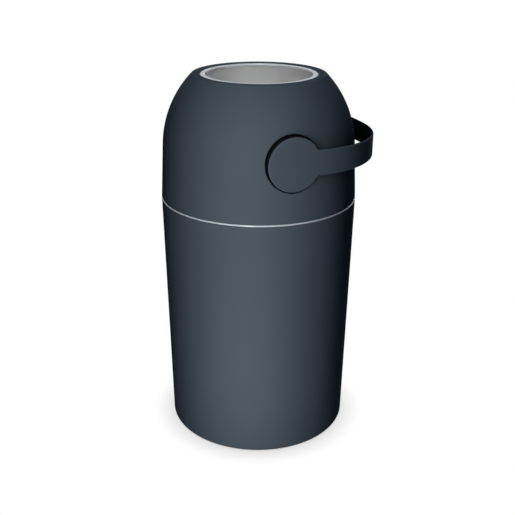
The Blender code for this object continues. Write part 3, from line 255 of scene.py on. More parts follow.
def solid(name: str, skin: Skin) -> bpy.types.Object:
    """Object with merged points, outward faces and shading that is smooth between sharp edges.

    Args:
        name: Name of the object and its mesh.
        skin: Its surface.

    Returns:
        The linked object.
    """
    mesh = bpy.data.meshes.new(name)
    mesh.from_pydata(skin.points.tolist(), [], skin.faces)
    bm = bmesh.new()
    bm.from_mesh(mesh)
    bmesh.ops.remove_doubles(bm, verts=bm.verts[:], dist=MERGE)
    bmesh.ops.dissolve_degenerate(bm, edges=bm.edges[:], dist=MERGE / 10)
    bmesh.ops.recalc_face_normals(bm, faces=bm.faces[:])
    bm.to_mesh(mesh)
    bm.free()
    mesh.polygons.foreach_set("use_smooth", np.ones(len(mesh.polygons), dtype=bool))
    mesh.set_sharp_from_angle(angle=SHARP)
    made = bpy.data.objects.new(name, mesh)
    bpy.context.scene.collection.objects.link(made)
    return made


def without(skin: Skin, cutters: Iterable[Skin]) -> Skin:
    """Takes shapes away from a surface.

    Args:
        skin: Closed surface that is cut.
        cutters: Closed surfaces to take away.

    Returns:
        The surface that is left.
    """
    left = solid("cut", skin)
    for cutter in cutters:
        tool = solid("cutter", cutter)
        cut = left.modifiers.new("cut", "BOOLEAN")
        cut.operation, cut.solver, cut.object = "DIFFERENCE", "EXACT", tool
        graph = bpy.context.evaluated_depsgraph_get()
        mesh = bpy.data.meshes.new_from_object(left.evaluated_get(graph))
        left.modifiers.clear()
        old, left.data = left.data, mesh
        bpy.data.meshes.remove(old)
        bpy.data.meshes.remove(tool.data)
    points = np.empty(3 * len(left.data.vertices))
    left.data.vertices.foreach_get("co", points)
    faces = [list(polygon.vertices) for polygon in left.data.polygons]
    bpy.data.meshes.remove(left.data)
    return Skin(points.reshape(-1, 3), faces)


# Finishes

# Uneven cooling shows in patches of about 55 mm, and changes the gloss by this share
PATCH_SCALE = 18.0
GLOSS_DRIFT = 0.06


def linear(colour: str) -> tuple[float, float, float, float]:
    """Linear red, green, blue and alpha of a hexadecimal sRGB colour."""
    parts = [int(colour[i : i + 2], 16) / 255 for i in (1, 3, 5)]
    return *(p / 12.92 if p <= 0.04045 else ((p + 0.055) / 1.055) ** 2.4 for p in parts), 1.0


def added(
    tree: bpy.types.NodeTree,
    kind: str,
    links: dict[str | int, bpy.types.NodeSocket] | None = None,
    values: dict[str | int, object] | None = None,
    **settings: object,
) -> bpy.types.Node:
    """Adds a node with its settings, socket values and links.

    Args:
        tree: Tree that takes the node.
        kind: The node's type, without the ShaderNode that it starts with.
        links: Sockets that feed its inputs.
        values: Values of its input sockets.
        **settings: Properties of the node.

    Returns:
        The node.
    """
    made = tree.nodes.new(f"ShaderNode{kind}")
    for name, value in settings.items():
        setattr(made, name, value)
    for name, value in (values or {}).items():
        made.inputs[name].default_value = value
    for name, socket in (links or {}).items():
        tree.links.new(socket, made.inputs[name])
    return made


def blank(name: str) -> tuple[bpy.types.Material, bpy.types.NodeTree]:
    """A material with an empty node tree.

    Args:
        name: The material's name.

    Returns:
        The material and its tree.
    """
    material = bpy.data.materials.new(name)
    material.use_nodes = True
    material.node_tree.nodes.clear()
    return material, material.node_tree


@dataclass(frozen=True)
class Finish:
    """A real material with its process, as a procedural shader in object coordinates.

    The grain's width and depth are in metres, and drift is the share by which the colour varies.
    """

    name: str
    slot: str
    colour: str
    roughness: float
    grain: float
    depth: float
    drift: float = 0.04
    metallic: float = 0.0
    specular: float = 0.5
    centre: tuple[float, float, float] = (0.0, 0.0, -0.27)

    def build(self) -> bpy.types.Material:
        """Makes the material: a fine grain in the normal and a slow drift of colour and gloss.

        Returns:
            The material.
        """
        material, tree = blank(self.name)
        place = added(tree, "TexCoord").outputs["Object"]
        centred = added(tree, "Mapping", {"Vector": place}, {"Location": self.centre})
        at = {"Vector": centred.outputs["Vector"]}
        fine = {"Scale": 1 / self.grain, "Detail": 3.0, "Roughness": 0.6}
        grain = added(tree, "TexNoise", at, fine).outputs["Fac"]
        patches = added(tree, "TexNoise", at, {"Scale": PATCH_SCALE, "Detail": 2.0}).outputs["Fac"]
        ends = {"To Min": 1 - self.drift, "To Max": 1 + self.drift}
        shade = added(tree, "MapRange", {"Value": patches}, ends).outputs["Result"]
        colour = {0: linear(self.colour)[:3]}
        tint = added(tree, "VectorMath", {"Scale": shade}, colour, operation="SCALE")
        dull, bright = self.roughness * (1 + GLOSS_DRIFT), self.roughness * (1 - GLOSS_DRIFT)
        gloss = added(tree, "MapRange", {"Value": patches}, {"To Min": dull, "To Max": bright})
        bump = added(tree, "Bump", {"Height": grain}, {"Strength": 1.0, "Distance": self.depth})
        feeds = {
            "Base Color": tint.outputs["Vector"],
            "Roughness": gloss.outputs["Result"],
            "Normal": bump.outputs["Normal"],
        }
        shader = added(tree, "BsdfPrincipled", feeds, {"Metallic": self.metallic})
        if self.metallic == 0.0:
            shader.inputs["Specular IOR Level"].default_value = self.specular
        added(tree, "OutputMaterial", {"Surface": shader.outputs["BSDF"]})
        return material


# Spark-eroded mould grain on dark blue-grey polypropylene: matt, wide soft light, no sparkle
SHELL_PLASTIC = Finish(
    "polypropylene_dark_grained", "dark_plastic", "#4b555d", 0.85, 0.0009, 0.00003, specular=0.002
)
# The same plastic with a finer grain: the handle's edges catch a little more light
HANDLE_PLASTIC = Finish(
    "polypropylene_dark_satin", "dark_plastic", "#4a545d", 0.8, 0.0007, 0.00002, specular=0.015
)
# Painted shade: the same plastic in a near-black colour for the grooves round the discs and the
# bow's inside, where shade falls; its grain is coarser too
PAINTED_SHADE_PLASTIC = Finish(
    "polypropylene_dark_painted_shade", "dark_plastic", "#14191c", 0.95, 0.0012, 0.00005, specular=0.0
)
# Nearly white polypropylene of the ball, satin and slightly uneven, as moulded
PALE_PLASTIC = Finish(
    "polypropylene_pale_satin", "pale_plastic", "#e8ebed", 0.4, 0.0012, 0.00002
)
# Bluish-grey polypropylene of the bag ring, smooth enough for a bright line along its edge
RING_PLASTIC = Finish(
    "polypropylene_grey_satin", "pale_plastic", "#b9c0c6", 0.18, 0.0012, 0.00001
)
# Greyish-white polypropylene of the well, polished so that nothing sticks: a soft even sheen
WELL_PLASTIC = Finish(
    "polypropylene_white_polished", "pale_plastic", "#d0cfcd", 0.35, 0.0015, 0.00001
)
# Natural acetal of the bushes: waxy off-white
BEARING_PLASTIC = Finish(
    "acetal_natural_turned", "bearing_plastic", "#e4e1d8", 0.35, 0.0010, 0.00001
)
# Black seal rubber from a mould: dull, with a dusty sheen
SEAL_RUBBER = Finish(
    "rubber_black_moulded", "rubber", "#1d1e20", 0.78, 0.0006, 0.00002, specular=0.35
)
# Bright zinc on steel: grey mirror with a faint grain
ZINC_STEEL = Finish("steel_zinc_plated", "steel", "#b9bcbf", 0.3, 0.0008, 0.00001, metallic=1.0)
# Cold-rolled spring strip: darker and smoother than the screws
SPRING_STEEL = Finish(
    "steel_spring_rolled", "steel", "#9a9c9e", 0.24, 0.0015, 0.00001, metallic=1.0
)


@dataclass
class Palette:
    """The finishes as materials, each made once."""

    made: dict[str, bpy.types.Material] = field(default_factory=dict)

    def material(self, finish: Finish) -> bpy.types.Material:
        """The material of a finish.

        Args:
            finish: The finish.

        Returns:
            Its material, made the first time.
        """
        if finish.name not in self.made:
            self.made[finish.name] = finish.build()
        return self.made[finish.name]


# Sizes that several groups share


@dataclass(frozen=True)
class Plan:
    """Heights, radii and stations of the bin."""

    body_height: float = 0.3543
    body_top: float = 0.1400
    body_base: float = 0.1334
    wall: float = 0.0025
    head_bottom: float = 0.3573
    head_base: float = 0.1399
    shoulder: float = 0.1359
    shoulder_height: float = 0.4340
    dome_radius: float = 0.1461
    head_top: float = 0.5298
    rim: float = 0.003
    pivot: float = 0.4355
    drum_radius: float = 0.1237
    well_radius: float = 0.07556
    hinge_y: float = 0.1370
    hinge_z: float = 0.3558
    notch_side: float = 0.027
    pad_side: float = 0.025
    frame_bottom: float = 0.3610
    frame_top: float = 0.3640
    ridge: float = 0.109755
    ridge_height: float = 0.0023
    leaf_side: float = 0.0035
    leaf_front: float = 0.1359889
    leaf_back: float = 0.1367889
    gap: float = 0.0003

    def body_radius(self, height: float) -> float:
        """Outer radius of the lower bin at a height: a straight taper."""
        return self.body_base + (self.body_top - self.body_base) * height / self.body_height

    @property
    def tilt(self) -> float:
        """Slope of the head's straight wall, as an angle."""
        return math.atan2(self.head_base - self.shoulder, self.shoulder_height - self.head_bottom)

    @property
    def dome_centre(self) -> tuple[float, float]:
        """Radius and height of the centre of the dome's arc, which the straight wall touches."""
        across, down = math.cos(self.tilt), math.sin(self.tilt)
        radius = self.dome_radius
        return self.shoulder - radius * across, self.shoulder_height - radius * down

    def head_radius(self, height: np.ndarray | float, inset: float = 0.0) -> np.ndarray:
        """Radius of a skin of the head at a height.

        Below the shoulder it is a straight taper. Above it, it is
        centre + sqrt(arc^2 - (height - centre height)^2).

        Args:
            height: Heights above the floor.
            inset: How far inside the outer skin.

        Returns:
            The radii.
        """
        height = np.asarray(height, dtype=float)
        centre, level = self.dome_centre
        arc = self.dome_radius - inset
        start = level + arc * math.sin(self.tilt)
        wall = self.head_base - math.tan(self.tilt) * (height - self.head_bottom)
        bow = centre + np.sqrt(np.maximum(arc**2 - (height - level) ** 2, 0.0))
        return np.where(height < start, wall - inset / math.cos(self.tilt), bow)

    def head_side(self, flat: np.ndarray, inset: float = 0.0) -> np.ndarray:
        """Where a skin of the head lies along X, sqrt(radius^2 - y^2).

        Args:
            flat: Points of (y, height above the pivot).
            inset: How far inside the outer skin.

        Returns:
            Their places along X.
        """
        radius = self.head_radius(self.pivot + flat[..., 1], inset)
        return np.sqrt(radius**2 - flat[..., 0] ** 2)


PLAN = Plan()
# Turns X up, Y to X and Z to Y
UPRIGHT = Matrix(((0, 1, 0, 0), (0, 0, 1, 0), (1, 0, 0, 0), (0, 0, 0, 1)))
# From the floor to the drum's axle
LIFT = Matrix.Translation((0.0, 0.0, PLAN.pivot))


@dataclass
class Assembly:
    """Pieces that ride on one body."""

    palette: Palette
    body: Body

    def add(
        self, name: str, skin: Skin, finish: Finish, *nodes: str, bevel: float = 0.0
    ) -> bpy.types.Object:
        """Makes a piece, dresses it and ties it to the frame.

        Args:
            name: The piece's name.
            skin: Its surface.
            finish: Its finish.
            *nodes: Nodes of the frame that it stands for.
            bevel: Width of a rounding on all its sharp edges.

        Returns:
            The piece.
        """
        made = solid(name, skin)
        made.data.materials.append(self.palette.material(finish))
        if bevel > 0.0:
            edge = made.modifiers.new("edge", "BEVEL")
            edge.width, edge.segments = bevel, 2
            edge.limit_method, edge.angle_limit = "ANGLE", BEVEL_SHARP
        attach(made, self.body.value)
        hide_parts(*nodes)
        LOG.info("%s: %d faces, %s", name, len(made.data.polygons), finish.name)
        return made

    def repaint(
        self,
        made: bpy.types.Object,
        finish: Finish,
        chosen: Callable[[np.ndarray], np.ndarray],
    ) -> None:
        """Gives some faces of a piece another finish.

        Args:
            made: The piece.
            finish: The other finish, from the same slot.
            chosen: Says from the faces' centres, an array of faces by 3, which faces change.
        """
        mesh = made.data
        centres = np.empty(3 * len(mesh.polygons))
        mesh.polygons.foreach_get("center", centres)
        mesh.materials.append(self.palette.material(finish))
        picked = chosen(centres.reshape(-1, 3)).astype(np.int32)
        mesh.polygons.foreach_set("material_index", picked)
        LOG.info("%s: some faces %s", made.name, finish.name)


# Fastenings that both halves share


@dataclass(frozen=True)
class Knuckle:
    """A hinge knuckle on its web.

    The web's faces low and high lie off the hinge's axis along Y, and it ends at the height end.
    """

    span: tuple[float, float]
    low: float
    high: float
    end: float
    radius: float = 0.0042
    bore: float = 0.0019

    def skin(self) -> Skin:
        """The knuckle: an arc from one face of the web round to the other, with the pin's hole.

        Returns:
            The closed surface.
        """
        way = math.copysign(1.0, self.end - PLAN.hinge_z)
        centre = np.array((PLAN.hinge_y, PLAN.hinge_z))
        start, stop = math.acos(self.low / self.radius), math.acos(self.high / self.radius)
        turn = np.linspace(start, 2 * math.pi + stop, KNUCKLE_STEPS + 1)
        circle = centre + self.radius * np.column_stack([np.cos(turn), way * np.sin(turn)])
        web = [(PLAN.hinge_y + self.high, self.end), (PLAN.hinge_y + self.low, self.end)]
        turn = 2 * math.pi * np.arange(BORE_STEPS) / BORE_STEPS
        hole = centre + self.bore * np.column_stack([np.cos(turn), np.sin(turn)])
        return extruded(np.concatenate([circle, web]), *self.span, hole)


@dataclass(frozen=True)
class PanScrew:
    """A pan-head screw on Z: the head's underside is at zero and the shank points up."""

    length: float
    head_radius: float = 0.0032
    head: float = 0.0018
    dome: float = 0.00099
    edge: float = 0.0002
    shank: float = 0.0012
    arm: float = 0.0018
    slot: float = 0.00045
    depth: float = 0.001

    def skin(self) -> Skin:
        """The screw with its cross recess.

        Returns:
            The closed surface.
        """
        corners = [
            (0.0, -self.head), (self.head_radius, -self.head, self.dome),
            (self.head_radius, 0.0, self.edge), (self.shank, 0.0),
            (self.shank, self.length - self.shank), (0.0, self.length),
        ]
        body = turned(corners, SMALL_STEPS, closed=False)
        low, high = -2 * self.head, self.depth - self.head
        arms = ((self.arm, self.slot), (self.slot, self.arm))
        return without(body, [boxed((-x, -y, low), (x, y, high)) for x, y in arms])


# Lower bin


@dataclass
class Tub(Assembly):
    """The tapered tub with its rounded foot and the seats of the hinge and of the catch."""

    foot: float = 0.0048
    floor: float = 0.003
    rim_edge: float = 0.0007
    notch_front: float = 0.128
    notch_floor: float = 0.3474
    pad_face: float = 0.131
    pad_low: float = 0.325
    pad_steps: int = 16
    pocket_side: float = 0.006
    pocket_front: float = 0.1331889
    pocket_low: float = 0.3138
    pocket_high: float = 0.3273

    def build(self) -> None:
        """Makes the tub, with a notch at the back where the hinge passes."""
        top, wall, side, height = PLAN.body_top, PLAN.wall, PLAN.notch_side, PLAN.body_height
        corners = [
            (0.0, 0.0), (PLAN.body_base, 0.0, self.foot),
            (top, height, self.rim_edge), (top - wall, height, self.rim_edge),
            (PLAN.body_radius(self.floor) - wall, self.floor, self.floor), (0.0, self.floor),
        ]
        low = (-side, self.notch_front, self.notch_floor)
        notch = boxed(low, (side, top + wall, height + wall))
        tub = without(turned(corners, closed=False), [notch])
        parts = [tub, self.pad(), self.pocket()]
        self.add("tub_moulding", joined(parts), SHELL_PLASTIC, "bin_body")

    def pad(self) -> Skin:
        """Pad inside the wall for the hinge's bracket: an arc in the wall, closed by a flat face.

        Returns:
            The closed surface.
        """
        side, radius = PLAN.pad_side, PLAN.body_radius(self.pad_low) - PLAN.wall / 2
        reach = math.asin(side / radius)
        turn = np.linspace(-reach, reach, self.pad_steps + 1)
        arc = radius * np.column_stack([np.sin(turn), np.cos(turn)])
        plan = np.concatenate([arc, [(side, self.pad_face), (-side, self.pad_face)]])
        return extruded(plan, self.pad_low, self.notch_floor).moved(UPRIGHT)

    def pocket(self) -> Skin:
        """Pocket inside the wall that holds the foot of the leaf spring.

        Returns:
            The closed surface.
        """
        side, low, high = self.pocket_side, self.pocket_low, self.pocket_high
        wall, gap = PLAN.wall, PLAN.gap
        outer = wall / 2 - PLAN.body_radius(low)
        walls = boxed((-side, outer, low), (side, -self.pocket_front, high))
        slot, front, back = PLAN.leaf_side + gap, PLAN.leaf_front - gap, PLAN.leaf_back + gap
        room = boxed((-slot, -back, low + wall), (slot, -front, high + wall))
        return without(walls, [room])


@dataclass
class BagRing(Assembly):
    """The pale ring whose edge shows in the seam, with a skirt and a hem below.

    Each cut has three distances from the axis. The hinge's are its inner side in the rim and in the
    skirt and its outer side. The catch's are its inner side and its outer side in rim and skirt.
    """

    top: float = 0.3570
    mouth: float = 0.112
    outer: float = 0.1396
    skirt_bottom: float = 0.3340
    skirt_wall: float = 0.002
    clearance: float = 0.0005
    hem: float = 0.0022
    hem_bottom: float = 0.3466
    edge: float = 0.0005
    root: float = 0.0003
    mouth_edge: float = 0.0008
    catch_side: float = 0.007
    hinge_cut: tuple[float, float, float] = (0.1318, 0.1271, 0.143)
    catch_cut: tuple[float, float, float] = (0.1322, 0.1364, 0.140)
    past: float = 0.003

    def build(self) -> None:
        """Makes the ring, cut away for the hinge at the back and for the catch in front."""
        top, foot, edge = self.top, self.skirt_bottom, self.edge
        bottom = PLAN.body_height + PLAN.gap
        skirt = PLAN.body_radius(foot) - PLAN.wall - self.clearance
        inner, hem = skirt - self.skirt_wall, self.mouth + self.hem
        corners = [
            (self.mouth, self.hem_bottom, edge), (hem, self.hem_bottom, edge),
            (hem, bottom, edge), (inner, bottom, edge), (inner, foot, edge), (skirt, foot, edge),
            (skirt, bottom, self.root), (self.outer, bottom, edge),
            (self.outer, top, edge), (self.mouth, top, self.mouth_edge),
        ]
        low, high, step = foot - self.past, top + self.past, bottom + PLAN.gap
        side, slot = PLAN.notch_side, self.catch_side
        in_rim, in_skirt, out = self.hinge_cut
        back, rim_front, skirt_front = self.catch_cut
        cutters = [
            boxed((-side, in_rim, low), (side, out, high)),
            boxed((-side, in_skirt, low), (side, out, step)),
            boxed((-slot, -rim_front, low), (slot, -back, high)),
            boxed((-slot, -skirt_front, low), (slot, -back, step)),
        ]
        self.add("ring_moulding", without(turned(corners), cutters), RING_PLASTIC, "bag_ring")


@dataclass
class CatchSpring(Assembly):
    """The leaf spring of the catch, bent to a nose near its top."""

    foot: float = 0.3166
    nose: float = 0.3487
    top: float = 0.3522
    rise: float = 0.0021
    reach: float = 0.0023
    edge: float = 0.0003
    bend: float = 0.0006

    def build(self) -> None:
        """Makes the spring."""
        side, front, back = PLAN.leaf_side, -PLAN.leaf_front, -PLAN.leaf_back
        corners = [
            (back, self.foot, self.edge), (front, self.foot, self.edge),
            (front, self.nose - self.rise, self.bend), (front + self.reach, self.nose, self.bend),
            (front, self.nose + self.rise, self.bend),
            (front, self.top, self.edge), (back, self.top, self.edge),
        ]
        leaf = extruded(rounded(corners), -side, side)
        self.add("leaf_spring", leaf, SPRING_STEEL, "catch_spring")


@dataclass
class HingeBase(Assembly):
    """The hinge's fixed half with its stop shelf, its screws and the pin."""

    top: float = 0.3507
    front: float = 0.1274
    back: float = 0.1307
    drop: float = 0.0257
    thickness: float = 0.003
    shelf_side: float = 0.015
    shelf_front: float = 0.1375
    shelf_back: float = 0.145
    stop_front: float = 0.1423
    stop_top: float = 0.3547
    edge: float = 0.0006
    fillet: float = 0.001
    bevel: float = 0.0003
    web: float = 0.0025
    web_depth: float = 0.0015
    spans: tuple[tuple[float, float], ...] = ((-0.01639, -0.00519), (0.00519, 0.01639))
    screw_length: float = 0.0082
    screw_side: float = 0.01508
    screw_drop: float = 0.01285
    pin_radius: float = 0.0016
    pin_half: float = 0.026
    pin_edge: float = 0.0004

    def build(self) -> None:
        """Makes all pieces of the group."""
        self.bracket()
        self.screws()
        self.pin()

    def bracket(self) -> None:
        """The plate inside the tub, the shelf that stops the open head, and both knuckles."""
        top, edge = self.top, self.edge
        under, foot = top - self.thickness, top - self.drop
        plate = [
            (self.front, foot, edge), (self.back, foot, edge), (self.back, under, edge),
            (PLAN.body_top, under), (PLAN.body_top, top), (self.front, top, self.fillet),
        ]
        shelf = [
            (self.shelf_front, under), (self.shelf_back, under, self.fillet),
            (self.shelf_back, self.stop_top, edge), (self.stop_front, self.stop_top, edge),
            (self.stop_front, top, self.fillet), (self.shelf_front, top),
        ]
        parts = [
            extruded(rounded(plate), -PLAN.pad_side, PLAN.pad_side),
            extruded(rounded(shelf), -self.shelf_side, self.shelf_side),
        ]
        end = top - self.web_depth
        parts += [Knuckle(span, -self.web, self.web, end).skin() for span in self.spans]
        moulding = joined(parts)
        self.add("hinge_half_fixed", moulding, SHELL_PLASTIC, "hinge_bracket", bevel=self.bevel)

    def screws(self) -> None:
        """The screws that hold the bracket from inside the tub."""
        screw = PanScrew(self.screw_length).skin()
        turn = Matrix.Rotation(-math.pi / 2, 4, "X")
        y, z = self.front - PLAN.gap, self.top - self.screw_drop
        for number, side in enumerate((Side.LEFT, Side.RIGHT), 1):
            made = screw.moved(Matrix.Translation((side.value * self.screw_side, y, z)) @ turn)
            name = f"bracket_fastener_{side.name.lower()}"
            self.add(name, made, ZINC_STEEL, f"bracket_screw_{number}")

    def pin(self) -> None:
        """The pin through all knuckles."""
        place = Matrix.Translation((0.0, PLAN.hinge_y, PLAN.hinge_z))
        turn = Matrix.Rotation(math.pi / 2, 4, "Y")
        pin = rod(self.pin_radius, -self.pin_half, self.pin_half, self.pin_edge)
        self.add("hinge_axle", pin.moved(place @ turn), ZINC_STEEL, "hinge_pin")


# Head


@dataclass
class Shell(Assembly):
    """The domed shell with its mouth and a round pocket on each side.

    The patch is the part of the skin round a pocket, in the rows and columns of the lathed grid.
    """

    mouth_ball: float = 0.1243
    rim_edge: float = 0.0016
    rim_start: float = 0.004
    mouth_edge: float = 0.0006
    inner_edge: float = 0.0004
    inner_start: float = 0.002
    foot_edge: float = 0.0005
    foot_rise: float = 0.004
    wall_rows: int = 6
    patch_rows: int = 24
    crown_rows: int = 24
    patch_columns: int = 11
    patch_half: float = 0.049
    patch_rings: int = 6
    pocket_radius: float = 0.0379
    pocket_floor: float = 0.126
    pocket_edge: float = 0.0014
    edge_rings: int = 7
    cup_wall: float = 0.0025
    cup_edge: float = 0.001
    cup_front: float = 0.004
    cup_back: float = 0.003
    collar_radius: float = 0.020
    collar_end: float = 0.1299
    collar_root: float = 0.0006
    collar_edge: float = 0.0004
    bore_radius: float = 0.017
    slope_step: float = 0.00001
    painted_shade_margin: float = 0.00005
    notch_low: tuple[float, float] = (0.1318, 0.354)
    notch_high: tuple[float, float] = (0.143, 0.362)

    def build(self) -> None:
        """Makes the shell: a lathed skin with a window on each side, filled by a round pocket."""
        outline, inner_row = self.outline()
        skin = lathed(outline)
        row = np.repeat(np.arange(len(outline)), ROUND_STEPS)
        column = np.tile(np.arange(ROUND_STEPS) + 0.5, len(outline))
        to_right = np.minimum(column, ROUND_STEPS - column)
        near = np.minimum(np.abs(column - ROUND_STEPS / 2), to_right) < self.patch_columns
        start = np.where(row < inner_row, self.wall_rows, inner_row)
        window = near & (row >= start) & (row < start + self.patch_rows)
        faces = [face for face, gone in zip(skin.faces, window.tolist()) if not gone]
        pocket = self.pocket()
        other = pocket.moved(Matrix.Rotation(math.pi, 4, "Z"))
        whole = joined([Skin(skin.points, faces), pocket, other])
        side = PLAN.notch_side
        notch = boxed((-side, *self.notch_low), (side, *self.notch_high))
        made = self.add("dome_moulding", without(whole, [notch]), SHELL_PLASTIC, "head_shell")
        # The pockets' walls, floors and collars get painted shade: a near-black colour where shade
        # falls round the discs
        self.repaint(made, PAINTED_SHADE_PLASTIC, self.pocket_painted_shade)

    def pocket_painted_shade(self, centres: np.ndarray) -> np.ndarray:
        """Faces of the pockets that get painted shade: those closer to the axle than a pocket's
        wall.
        """
        away = np.hypot(centres[:, 1], centres[:, 2] - PLAN.pivot)
        return away < self.pocket_radius + self.painted_shade_margin

    def profile(self, inset: float, *heights: np.ndarray) -> np.ndarray:
        """Points of (radius, height) of a skin of the head, over runs of heights."""
        height = np.concatenate(heights)
        return np.column_stack([PLAN.head_radius(height, inset), height])

    def outline(self) -> tuple[np.ndarray, int]:
        """Outline of the shell from its outer foot over the mouth to its inner foot.

        Returns:
            The closed outline and the row where the inner patch starts.
        """
        bottom, top, wall = PLAN.head_bottom, PLAN.head_top, PLAN.wall
        low, high = PLAN.pivot - self.patch_half, PLAN.pivot + self.patch_half
        under = top - PLAN.rim
        straight = np.linspace(bottom + self.foot_rise, low, self.wall_rows + 1)
        patch = np.linspace(low, high, self.patch_rows + 1)
        crown = np.linspace(high, top - self.rim_start, self.crown_rows + 1)
        vault = np.linspace(under - self.inner_start, high, self.crown_rows + 1)
        outer = self.profile(0.0, straight[:-1], patch, crown[1:])
        inner = self.profile(wall, vault[:-1], patch[::-1], straight[-2::-1])
        lip, neck = (math.sqrt(self.mouth_ball**2 - (z - PLAN.pivot) ** 2) for z in (top, under))
        rim = [
            tuple(outer[-1]),
            (float(PLAN.head_radius(top)), top, self.rim_edge),
            (lip, top, self.mouth_edge),
            (neck, under, self.inner_edge),
            (float(PLAN.head_radius(under, wall)), under, self.inner_edge),
            tuple(inner[0]),
        ]
        foot = [
            tuple(inner[-1]),
            (float(PLAN.head_radius(bottom, wall)), bottom, self.foot_edge),
            (float(PLAN.head_radius(bottom)), bottom, self.foot_edge),
            tuple(outer[0]),
        ]
        over, below = (rounded(corners, closed=False)[1:-1] for corners in (rim, foot))
        row = len(outer) + len(over) + self.crown_rows
        return np.concatenate([outer, over, inner, below]), row

    def window(self, inset: float) -> np.ndarray:
        """Edge of the window in a skin of the head, from its lower right corner round it.

        Args:
            inset: How far inside the outer skin.

        Returns:
            Points of (y, height above the pivot).
        """
        half, rows = self.patch_columns, self.patch_rows
        turn = 2 * math.pi * np.arange(-half, half + 1) / ROUND_STEPS
        level = np.linspace(-self.patch_half, self.patch_half, rows + 1)
        last, first = np.full(rows, turn[-1]), np.full(rows, turn[0])
        turns = np.concatenate([last, turn[:0:-1], first, turn[:-1]])
        above, below = np.full(2 * half, level[-1]), np.full(2 * half, level[0])
        height = np.concatenate([level[:-1], above, level[:0:-1], below])
        radius = PLAN.head_radius(PLAN.pivot + height, inset)
        return np.column_stack([radius * np.sin(turns), height])

    def skin_rings(self, circle: np.ndarray, inset: float) -> list[np.ndarray]:
        """Rings in a skin of the head, from a circle out to the window's edge.

        Between a circle point c and a window point w, a ring's point is c + (w - c) t.

        Args:
            circle: Points of (y, height above the pivot), one for each of the window's.
            inset: How far inside the outer skin.

        Returns:
            The rings, as arrays of points with their height above the pivot.
        """
        share = np.linspace(0.0, 1.0, self.patch_rings + 1)[:, None, None]
        flat = circle + (self.window(inset) - circle) * share
        return list(np.concatenate([PLAN.head_side(flat, inset)[..., None], flat], axis=-1))

    def pocket(self) -> Skin:
        """The round pocket at +X, with the skin round it.

        Rings run from the window's edge in the outer skin to a circle, roll over the edge, and go
        down the wall, over the floor and the bearing's collar, and back to the inner skin's window.
        The edge's arc is x = at - edge steep + edge sin(a) and r = centre + edge cos(a), from the
        skin's slope to the wall, where steep is sqrt(1 + slope^2).

        Returns:
            The surface, open at both windows.
        """
        way = self.window(0.0)
        way /= np.linalg.norm(way, axis=1, keepdims=True)
        edge, hole, cup = self.pocket_edge, self.pocket_radius, self.pocket_radius + self.cup_wall
        centre, step = hole + edge, self.slope_step
        at = PLAN.head_side(way * centre)
        slope = (PLAN.head_side(way * (centre + step)) - at) / step
        steep = np.sqrt(1 + slope**2)
        touch = centre - edge * slope / steep
        rings = self.skin_rings(way * touch[:, None], 0.0)[::-1]
        start = np.arctan2(1.0, -slope)
        for share in np.linspace(0.0, 1.0, self.edge_rings + 1)[1:]:
            angle = start + (math.pi - start) * share
            radius = centre + edge * np.cos(angle)
            x = at - edge * steep + edge * np.sin(angle)
            rings.append(np.column_stack([x, way * radius[:, None]]))
        floor, back = self.pocket_floor, self.pocket_floor - self.cup_wall
        end, fine = self.collar_end, self.collar_edge
        corners = [
            (hole, floor + self.cup_front), (hole, floor, self.cup_edge),
            (self.collar_radius, floor, self.collar_root), (self.collar_radius, end, fine),
            (self.bore_radius, end, fine), (self.bore_radius, back, fine),
            (cup, back, self.cup_edge), (cup, back + self.cup_back),
        ]
        for radius, x in rounded(corners, closed=False):
            rings.append(np.column_stack([np.full(len(way), x), way * radius]))
        points = np.stack(rings + self.skin_rings(way * cup, PLAN.wall))
        points[..., 2] += PLAN.pivot
        return woven(points)


@dataclass
class HeadFrame(Assembly):
    """The ring plate under the head with its ridge, knuckles, striker and screws."""

    inner: float = 0.10345
    outer: float = 0.136707
    ridge_width: float = 0.002
    edge: float = 0.0005
    spans: tuple[tuple[float, float], ...] = (
        (-0.026, -0.01689), (-0.00469, 0.00469), (0.01689, 0.026),
    )
    web: tuple[float, float] = (-0.0042, -0.0003)
    web_depth: float = 0.0005
    striker_low: tuple[float, float, float] = (-0.006, -0.1353889, 0.3425)
    striker_high: tuple[float, float, float] = (0.006, -0.1331889, 0.3625)
    striker_edge: float = 0.0004
    window_low: tuple[float, float, float] = (-0.0042, -0.14, 0.346)
    window_high: tuple[float, float, float] = (0.0042, -0.13, 0.3514)
    screws: int = 6
    screw_length: float = 0.0123
    screw_circle: float = 0.13315

    def build(self) -> None:
        """Makes the plate and its screws."""
        low, high, edge, crest = PLAN.frame_bottom, PLAN.frame_top, self.edge, PLAN.ridge_height
        ridge, ridge_out = PLAN.ridge, PLAN.ridge + self.ridge_width
        corners = [
            (self.inner, low, edge), (self.outer, low, edge), (self.outer, high, edge),
            (ridge_out, high, edge), (ridge_out, high + crest, edge), (ridge, high + crest, edge),
            (ridge, high, edge), (self.inner, high, edge),
        ]
        tongue = boxed(self.striker_low, self.striker_high, self.striker_edge)
        striker = without(tongue, [boxed(self.window_low, self.window_high)])
        end = low + self.web_depth
        knuckles = [Knuckle(span, *self.web, end).skin() for span in self.spans]
        plate = joined([turned(corners), *knuckles, striker])
        self.add("frame_moulding", plate, SHELL_PLASTIC, "head_frame")
        screw = PanScrew(self.screw_length).skin()
        out = Matrix.Translation((self.screw_circle, 0.0, low - PLAN.gap))
        for i in range(self.screws):
            made = screw.moved(Matrix.Rotation(2 * math.pi * i / self.screws, 4, "Z") @ out)
            self.add(f"frame_fastener_{i + 1}", made, ZINC_STEEL, f"frame_screw_{i + 1}")


